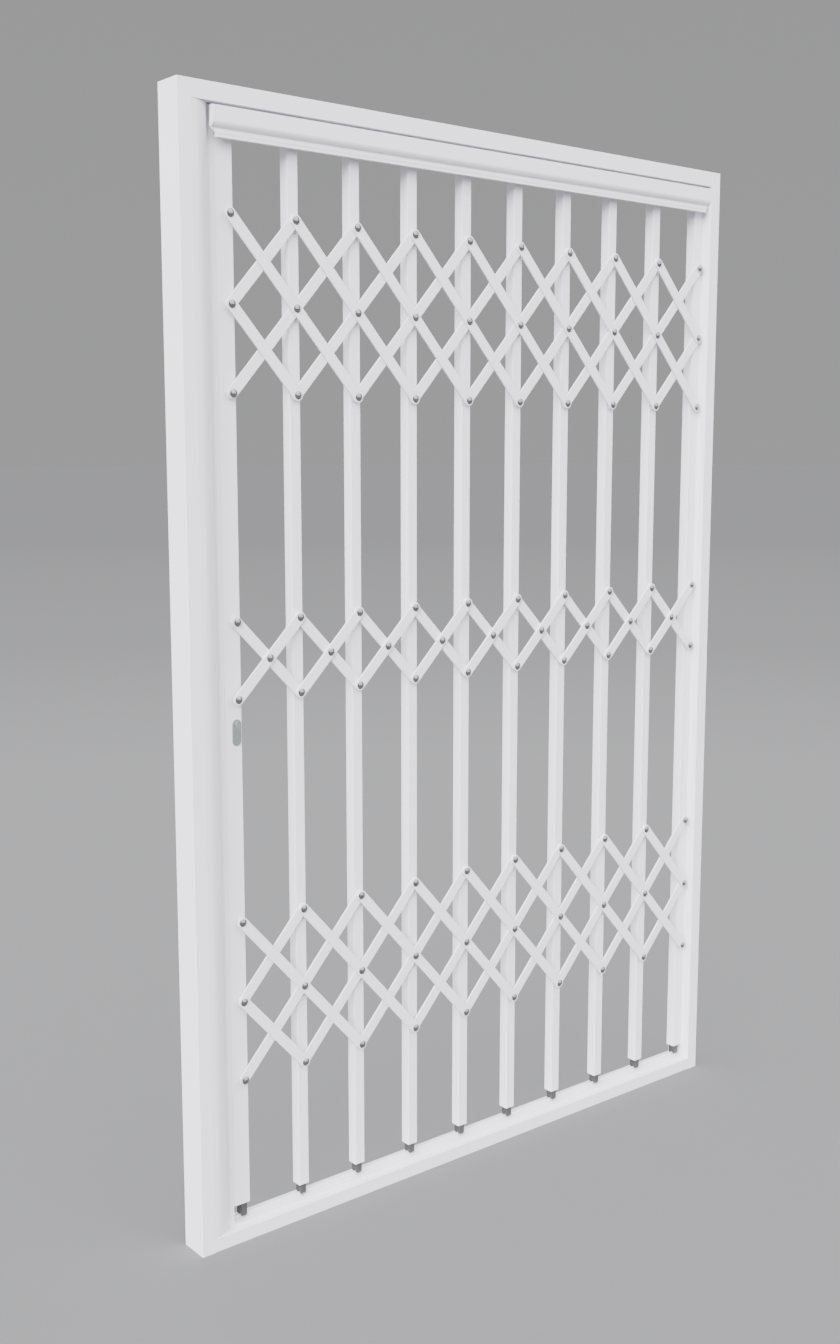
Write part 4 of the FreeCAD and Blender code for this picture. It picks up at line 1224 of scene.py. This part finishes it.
# ---- uprights ------------------------------------------------------------------------------------
@dataclass
class Upright:
    """A post with its foot, rollers, trolley, bushes and pivot rivets."""

    bench: Bench
    node: str
    body: str
    column: float
    left: float = 10.0 * MM
    right: float = 10.0 * MM
    half: float = 10.0 * MM
    middle: float = 3.5 * MM
    wall: float = 1.5 * MM
    corner: float = 1.2 * MM
    foot: float = 49.5 * MM
    top: float = 1765.5 * MM
    foot_level: float = 31.0 * MM
    foot_width: float = 10.5 * MM
    foot_depth: float = 16.0 * MM
    foot_round: float = 2.0 * MM
    slot: float = 4.0 * MM
    slot_top: float = 34.4 * MM
    plug: float = 14.0 * MM
    plug_half: float = 8.3 * MM
    roller_radius: float = 1.8 * MM
    roller_width: float = 3.0 * MM
    roller_offset: float = 3.5 * MM
    roller_spread: float = 3.2 * MM
    wheel_radius: float = 9.0 * MM
    wheel_inner: float = 6.5 * MM
    wheel_width: float = 5.0 * MM
    axle_level: float = 1781.8 * MM
    axle_radius: float = 2.0 * MM
    block_half: Vector = field(default_factory=lambda: Vector((8.0, 6.0, 6.0)) * MM)
    stem_radius: float = 4.0 * MM
    rows: tuple[float, ...] = (1518.0 * MM, 1030.0 * MM, 407.0 * MM)
    trolley: bool = True

    def build(self) -> None:
        """Builds and dresses the upright's pieces."""
        self.post()
        self.guide()
        self.rollers()
        if self.trolley:
            self.carrier()
        self.pivots()

    def skin(self) -> bmesh.types.BMesh:
        """The post's tube before anything is cut in it."""
        low = Vector((self.column - self.left, self.middle - self.half, self.foot))
        high = Vector((self.column + self.right, self.middle + self.half, self.top))
        return tube(low, high, self.wall, self.corner)

    def post(self) -> None:
        """The tube."""
        self.bench.piece(self.skin(), f"{self.node}_tube", POST_COAT, Slot.POST, self.body,
                         [self.node])

    def guide(self) -> None:
        """The nylon foot that straddles the sill rail's upstand, and its plug in the tube."""
        half_width, half_depth, half_slot = self.foot_width / 2, self.foot_depth / 2, self.slot / 2
        corners = [
            (half_slot, self.foot_level), (half_depth, self.foot_level), (half_depth, self.foot),
            (-half_depth, self.foot), (-half_depth, self.foot_level),
            (-half_slot, self.foot_level), (-half_slot, self.slot_top), (half_slot, self.slot_top),
        ]
        place = Matrix(((0, 0, 1, self.column - half_width), (1, 0, 0, self.middle), (0, 1, 0, 0),
                        (0, 0, 0, 1)))

        def is_lowest(edge: bmesh.types.BMEdge) -> bool:
            """Whether an edge is on the outside of the foot's underside.

            Args:
                edge: The edge to test.

            Returns:
                True where it is.
            """
            middle = (edge.verts[0].co + edge.verts[1].co) / 2
            inner = abs(middle.y - self.middle) < half_slot + 1e-5 and is_along(edge, 0)
            return not inner and abs(middle.z - self.foot_level) < 1e-5

        shoe = eased(extrusion(corners, place, self.foot_width), self.foot_round, is_lowest, 5)
        eased(shoe, 0.4 * MM, is_crease, 1)
        low = Vector((self.column - self.plug_half, self.middle - self.plug_half, self.foot))
        high = Vector((self.column + self.plug_half, self.middle + self.plug_half,
                       self.foot + self.plug))
        plug = eased(block(low, high), 0.3 * MM, is_crease, 1)
        self.bench.piece(merged([shoe, plug]), f"{self.node}_guide", GUIDE_NYLON, Slot.NYLON,
                         self.body)

    def rollers(self) -> None:
        """Four small rollers that run on the rail, two on each side of its upstand."""
        ease = 0.3 * MM
        outline = [(0.0, 0.0), (self.roller_radius - ease, 0.0), (self.roller_radius, ease),
                   (self.roller_radius, self.roller_width - ease),
                   (self.roller_radius - ease, self.roller_width), (0.0, self.roller_width)]
        level = self.foot_level - self.roller_radius - 0.05 * MM
        shapes = []
        for start in (-self.roller_offset, self.roller_offset + self.roller_width):
            for spread in (-self.roller_spread, self.roller_spread):
                place = Matrix.Translation((self.column + spread, self.middle + start, level))
                shapes.append(moved(lathe(outline, 20), place @ ALONG_Y))
        self.bench.piece(merged(shapes), f"{self.node}_rollers", ROLLER_STEEL, Slot.POST, self.body)

    def carrier(self) -> None:
        """The trolley in the head track: plug, stem, axle block, axle and two wheels."""
        centre = Vector((self.column, self.middle, self.axle_level))
        block_shape = eased(block(centre - self.block_half, centre + self.block_half), 0.8 * MM,
                            is_crease, 2)
        low = Vector((self.column - self.plug_half, self.middle - self.plug_half,
                      self.top - self.plug))
        high = Vector((self.column + self.plug_half, self.middle + self.plug_half, self.top))
        plug = eased(block(low, high), 0.3 * MM, is_crease, 1)
        stem_top = self.axle_level - self.block_half.z
        stem = lathe([(0.0, self.top), (self.stem_radius, self.top), (self.stem_radius, stem_top),
                      (0.0, stem_top)], 24)
        moved(stem, Matrix.Translation((self.column, self.middle, 0.0)))
        reach = self.wheel_inner + self.wheel_width
        axle = lathe([(0.0, -reach), (self.axle_radius, -reach), (self.axle_radius, reach),
                      (0.0, reach)], 20)
        moved(axle, Matrix.Translation(centre) @ ALONG_Y)
        self.bench.piece(merged([block_shape, plug, stem, axle]), f"{self.node}_trolley", ZINC,
                         Slot.POST, self.body)
        bore = self.axle_radius + 0.1 * MM
        ease = 0.6 * MM
        groove = 1.0 * MM
        outline = [(bore, 0.0), (self.wheel_radius - ease, 0.0), (self.wheel_radius, ease),
                   (self.wheel_radius, self.wheel_width - ease),
                   (self.wheel_radius - ease, self.wheel_width),
                   (self.wheel_radius * 0.75, self.wheel_width),
                   (self.wheel_radius * 0.7, self.wheel_width - groove),
                   (self.wheel_radius * 0.45, self.wheel_width - groove),
                   (self.wheel_radius * 0.4, self.wheel_width), (bore, self.wheel_width),
                   (bore, 0.0)]
        shapes = []
        for turn, start in ((0.0, -self.wheel_inner), (math.pi, self.wheel_inner)):
            place = Matrix.Translation((centre.x, centre.y + start, centre.z))
            place = place @ Matrix.Rotation(turn, 4, "X") @ ALONG_Y
            shapes.append(moved(lathe(outline, 36), place))
        self.bench.piece(merged(shapes), f"{self.node}_wheels", WHEEL_NYLON, Slot.BUSH, self.body)

    def pivots(self) -> None:
        """The bushes and the pivot rivets in the post's front face."""
        front = self.middle - self.half
        bushes, rivets = [], []
        for row in self.rows:
            place = facing_front(self.column, row, front)
            bushes.append(moved(RIVETING.bush(), place))
            rivets.append(moved(RIVETING.rivet(-self.wall, tail=False), place))
        self.bench.piece(merged(bushes), f"{self.node}_bushes", WHEEL_NYLON, Slot.BUSH, self.body)
        self.bench.piece(merged(rivets), f"{self.node}_pivot_rivets", RIVET_STEEL, Slot.RIVET,
                         self.body)


@dataclass
class LeadStile(Upright):
    """The wide upright at the gate's free edge, with the lock in it."""

    left: float = 21.0 * MM
    foot: float = 55.0 * MM
    slot_low: float = 813.0 * MM
    slot_high: float = 852.0 * MM
    slot_front: float = 0.5 * MM
    slot_back: float = 6.5 * MM
    lock_level: float = 853.0 * MM
    lock_width: float = 16.3 * MM
    lock_length: float = 43.0 * MM
    lock_proud: float = 1.2 * MM
    lock_depth: float = 7.0 * MM
    bore: float = 5.1 * MM
    hook_level: float = 820.0 * MM
    hook_pin_radius: float = 2.5 * MM
    hook_pin_inset: float = 17.0 * MM

    def build(self) -> None:
        """Builds the upright, and the lock body and hook pin in it."""
        super().build()
        self.lock_body()
        self.hook_pin()

    def skin(self) -> bmesh.types.BMesh:
        """The wide tube with the hook's slot in its left wall."""
        low = Vector((self.column - self.left, self.middle - self.half, self.foot))
        high = Vector((self.column + self.half, self.middle + self.half, self.top))
        shape = block(low, high)
        ends = [face for face in shape.faces if abs(face.normal.z) > 0.9]
        bmesh.ops.delete(shape, geom=ends, context="FACES_ONLY")
        eased(shape, self.corner, lambda edge: is_along(edge, 2), 3)
        cut_window(shape, low.x, (self.slot_front, self.slot_low), (self.slot_back, self.slot_high))
        return walled(shape, self.wall)

    def lock_body(self) -> None:
        """The oval lock face, bored for the key cylinder."""
        half = self.lock_width / 2
        reach = self.lock_length / 2 - half
        steps = 48
        shape = bmesh.new()
        half_step = Matrix.Rotation(math.pi / steps, 4, "Z")
        bmesh.ops.create_circle(shape, cap_ends=False, radius=half, segments=steps,
                                matrix=half_step)
        outer = shape.edges[:]
        for vertex in shape.verts:
            vertex.co.y += math.copysign(reach, vertex.co.y)
        bmesh.ops.create_circle(shape, cap_ends=False, radius=self.bore, segments=steps,
                                matrix=Matrix.Translation((0.0, reach, 0.0)) @ half_step)
        inner = [edge for edge in shape.edges if edge not in outer]
        bmesh.ops.bridge_loops(shape, edges=outer + inner)
        grown = bmesh.ops.extrude_face_region(shape, geom=shape.faces[:], use_keep_orig=True)
        rise = [item for item in grown["geom"] if isinstance(item, bmesh.types.BMVert)]
        bmesh.ops.translate(shape, verts=rise, vec=(0.0, 0.0, self.lock_proud + self.lock_depth))
        bmesh.ops.recalc_face_normals(shape, faces=shape.faces)
        eased(shape, 0.5 * MM, is_crease, 2)
        front = self.middle - self.half
        place = Matrix.Translation((self.column, front + self.lock_depth, self.lock_level))
        self.bench.piece(moved(shape, place @ ALONG_Y), "lock_body", LOCK_METAL, Slot.CYLINDER,
                         self.body)

    def hook_pin(self) -> None:
        """The pin that the hook bolt turns on, from the tube's back wall."""
        length = self.half - self.wall + 2.0 * MM
        pin = lathe([(0.0, 0.0), (self.hook_pin_radius, 0.0), (self.hook_pin_radius, length),
                     (0.0, length)], 24)
        back = self.middle + self.half - self.wall
        place = Matrix.Translation((self.column + self.half - self.hook_pin_inset, back,
                                    self.hook_level))
        self.bench.piece(moved(pin, place @ ALONG_Y), "hook_pin", ZINC, Slot.HOOK, self.body)


@dataclass
class Lock:
    """The turning pieces of the lock: the key cylinder and the hook bolt."""

    bench: Bench
    radius: float = 5.0 * MM
    keyway_width: float = 1.6 * MM
    keyway_length: float = 6.0 * MM
    keyway_depth: float = 3.0 * MM
    nose_width: float = 6.0 * MM

    def build(self) -> None:
        """Builds both pieces."""
        self.cylinder()
        self.hook()

    def cylinder(self) -> None:
        """The key cylinder with its keyway."""
        low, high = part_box("lock_cylinder")
        steps = 48
        half_step = Matrix.Rotation(math.pi / steps, 4, "Z")
        shape = bmesh.new()
        bmesh.ops.create_circle(shape, cap_ends=False, radius=self.radius, segments=steps,
                                matrix=half_step)
        outer = shape.edges[:]
        narrow = Matrix.Diagonal((self.keyway_width / self.keyway_length, 1.0, 1.0, 1.0))
        bmesh.ops.create_circle(shape, cap_ends=False, radius=self.keyway_length / 2,
                                segments=steps, matrix=narrow @ half_step)
        inner = [edge for edge in shape.edges if edge not in outer]
        bmesh.ops.bridge_loops(shape, edges=outer + inner)
        for edges, depth in ((inner, self.keyway_depth), (outer, high.y - low.y)):
            grown = bmesh.ops.extrude_edge_only(shape, edges=edges)
            sunk = [item for item in grown["geom"] if isinstance(item, bmesh.types.BMVert)]
            bmesh.ops.translate(shape, verts=sunk, vec=(0.0, 0.0, -depth))
            ring = [item for item in grown["geom"] if isinstance(item, bmesh.types.BMEdge)]
            ring = [edge for edge in ring if all(vertex in sunk for vertex in edge.verts)]
            bmesh.ops.contextual_create(shape, geom=ring)
        bmesh.ops.recalc_face_normals(shape, faces=shape.faces)
        eased(shape, 0.3 * MM, lambda edge: edge.is_convex and is_crease(edge), 1)
        centre = (low + high) / 2
        place = Matrix.Translation((centre.x, low.y, centre.z)) @ ALONG_Y
        self.bench.piece(moved(shape, place), "key_cylinder", CYLINDER_METAL, Slot.CYLINDER, "key",
                         ["lock_cylinder"])

    def hook(self) -> None:
        """The hook bolt, upright at rest with its nose towards the receiver."""
        low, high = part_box("hook_bolt")
        nose = self.nose_width
        half = 5.0 * MM
        centre_x = high.x - half
        shape = bmesh.new()
        steps = 32
        half_step = Matrix.Rotation(math.pi / steps, 4, "Z")
        bmesh.ops.create_circle(shape, cap_ends=True, radius=half, segments=steps, matrix=half_step)
        top = [vertex for vertex in shape.verts if vertex.co.y > 0]
        reach = high.z - low.z - half
        for vertex in top:
            vertex.co.x = math.copysign(half, vertex.co.x)
            vertex.co.y = reach if abs(vertex.co.x) > 0 else vertex.co.y
        bmesh.ops.remove_doubles(shape, verts=shape.verts, dist=1e-6)
        grown = bmesh.ops.extrude_face_region(shape, geom=shape.faces[:], use_keep_orig=True)
        rise = [item for item in grown["geom"] if isinstance(item, bmesh.types.BMVert)]
        bmesh.ops.translate(shape, verts=rise, vec=(0.0, 0.0, high.y - low.y))
        bmesh.ops.recalc_face_normals(shape, faces=shape.faces)
        tip = block(Vector((low.x - centre_x, reach - nose, 0.0)),
                    Vector((0.0, reach, high.y - low.y)))
        eased(shape, 0.3 * MM, is_crease, 1)
        eased(tip, 0.3 * MM, is_crease, 1)
        place = Matrix.Translation((centre_x, high.y, low.z + half)) @ ALONG_Y
        self.bench.piece(moved(merged([shape, tip]), place), "hook_bolt_plate", ZINC, Slot.HOOK,
                         "hook", ["hook_bolt"])


# ---- studio --------------------------------------------------------------------------------------
@dataclass
class Studio:
    """A floor whose colour paints a pool of light round the object, a soft bright dome, lamps for
    the grille alone, and the camera.
    """

    lit: bpy.types.Collection
    eye: tuple[float, float, float] = (-1.7560, -1.9944, 1.2912)
    heading: float = 39.20
    pitch: float = 8.33
    lens: float = 39.82
    sensor: float = 36.0
    floor_half: float = 150.0
    painted_light_pool_greys: tuple[tuple[float, float], ...] = ((3.6, 0.338), (7.4, 0.274), (20.0, 0.233))
    dome_greys: tuple[tuple[float, float], ...] = ((0.0, 0.374), (18.0, 0.357), (24.0, 0.357),
                                                   (44.0, 2.2))
    tint: float = 1.015

    def build(self) -> None:
        """Sets up the floor, the lights and the camera."""
        self.floor()
        self.dome()
        self.lamps()
        self.camera()

    def floor(self) -> None:
        """A wide matt floor whose base colour paints a pool of light: bright near the object,
        darkening gently away from it.
        """
        shape = bmesh.new()
        bmesh.ops.create_grid(shape, x_segments=2, y_segments=2, size=self.floor_half)
        mesh = bpy.data.meshes.new("studio_floor")
        shape.to_mesh(mesh)
        shape.free()
        made = bpy.data.objects.new("studio_floor", mesh)
        bpy.context.scene.collection.objects.link(made)
        material = bpy.data.materials.new("studio_floor_painted_light_pool")
        material.use_nodes = True
        tree = material.node_tree
        principled = tree.nodes["Principled BSDF"]
        principled.inputs["Roughness"].default_value = 0.9
        principled.inputs["Specular IOR Level"].default_value = 0.0
        place = tree.nodes.new("ShaderNodeTexCoord")
        distance = tree.nodes.new("ShaderNodeVectorMath")
        distance.operation = "LENGTH"
        reach = self.painted_light_pool_greys[-1][0]
        share = tree.nodes.new("ShaderNodeMath")
        share.operation = "DIVIDE"
        share.inputs[1].default_value = reach
        # painted pool of light: the floor's base colour is brightest near the object and greyer
        # further out
        ramp = self.ramp(tree, [(metres / reach, grey) for metres, grey in self.painted_light_pool_greys])
        tree.links.new(place.outputs["Object"], distance.inputs[0])
        tree.links.new(distance.outputs["Value"], share.inputs[0])
        tree.links.new(share.outputs["Value"], ramp.inputs["Fac"])
        tree.links.new(ramp.outputs["Color"], principled.inputs["Base Color"])
        mesh.materials.append(material)

    def dome(self) -> None:
        """Surroundings that are grey at eye level and bright overhead."""
        world = bpy.data.worlds.new("studio_dome")
        world.use_nodes = True
        tree = world.node_tree
        background = tree.nodes["Background"]
        place = tree.nodes.new("ShaderNodeTexCoord")
        split = tree.nodes.new("ShaderNodeSeparateXYZ")
        brightest = self.dome_greys[-1][1]
        stops = [(math.sin(math.radians(rise)), grey / brightest) for rise, grey in self.dome_greys]
        ramp = self.ramp(tree, stops)
        tree.links.new(place.outputs["Generated"], split.inputs[0])
        tree.links.new(split.outputs["Z"], ramp.inputs["Fac"])
        tree.links.new(ramp.outputs["Color"], background.inputs["Color"])
        background.inputs["Strength"].default_value = brightest
        bpy.context.scene.world = world

    def ramp(self, tree: bpy.types.ShaderNodeTree,
             stops: list[tuple[float, float]]) -> bpy.types.ShaderNodeValToRGB:
        """A colour ramp through greys with a little blue.

        Args:
            tree: the node tree that it is added to.
            stops: its places from 0 to 1, with their greys.

        Returns:
            The ramp.
        """
        node = tree.nodes.new("ShaderNodeValToRGB")
        elements = node.color_ramp.elements
        while len(elements) < len(stops):
            elements.new(0.5)
        for element, (place, grey) in zip(elements, stops):
            element.position = place
        for element, (place, grey) in zip(elements, stops):
            element.color = (grey, grey, grey * self.tint, 1.0)
        return node

    def sun(self, name: str, heading: float, rise: float, softness: float, strength: float) -> None:
        """A broad even light for the grille alone.

        Args:
            name: the light's name.
            heading: where it comes from, in degrees left of straight in front.
            rise: its height above the horizon, in degrees.
            softness: how wide it looks, in degrees.
            strength: its strength.
        """
        light = bpy.data.lights.new(name, "SUN")
        light.angle = math.radians(softness)
        light.energy = strength
        made = bpy.data.objects.new(name, light)
        bpy.context.scene.collection.objects.link(made)
        level = math.cos(math.radians(rise))
        source = Vector((-math.sin(math.radians(heading)) * level,
                         -math.cos(math.radians(heading)) * level, math.sin(math.radians(rise))))
        made.location = source * 4.0
        made.rotation_euler = source.to_track_quat("Z", "Y").to_euler()
        made.light_linking.receiver_collection = self.lit

    def lamps(self) -> None:
        """A large key from the front left, a front fill and a soft light behind."""
        self.sun("key_left", 66.0, 30.0, 50.0, 11.0)
        self.sun("fill_front", -22.0, 20.0, 80.0, 3.2)
        self.sun("back_soft", 170.0, 30.0, 80.0, 1.0)

    def camera(self) -> None:
        """The camera at the viewing angle."""
        data = bpy.data.cameras.new("studio_camera")
        data.lens = self.lens
        data.sensor_width = self.sensor
        made = bpy.data.objects.new("studio_camera", data)
        bpy.context.scene.collection.objects.link(made)
        made.location = self.eye
        made.rotation_euler = (math.radians(90 - self.pitch), 0.0, -math.radians(self.heading))
        bpy.context.scene.camera = made


def main() -> None:
    """Builds the grille and its studio."""
    logging.basicConfig(level=logging.INFO, format="%(name)s: %(message)s")
    bench = Bench()
    WindowFrame(bench).build()
    Receiver(bench).build()
    HeadTrack(bench).build()
    SillRail(bench).build()
    columns = []
    for number in range(BAYS + 1):
        node = {0: "lead_stile", BAYS: "end_stile"}.get(number, f"picket_{number}")
        low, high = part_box(node)
        if number == 0:
            columns.append(high.x - LeadStile.right)
            LeadStile(bench, node, "lead_stile", columns[0]).build()
            continue
        columns.append(low.x + Upright.left)
        is_end = number == BAYS
        Upright(bench, node, "frame" if is_end else node, columns[-1],
                right=high.x - columns[-1], trolley=not is_end).build()
    front = -6.5 * MM
    DoubleLattice(bench, "top", front).build()
    DoubleLattice(bench, "bottom", front).build()
    MiddleLattice(bench, front, columns).build()
    Lock(bench).build()
    Studio(bench.collection).build()


if __name__ == "__main__":
    main()
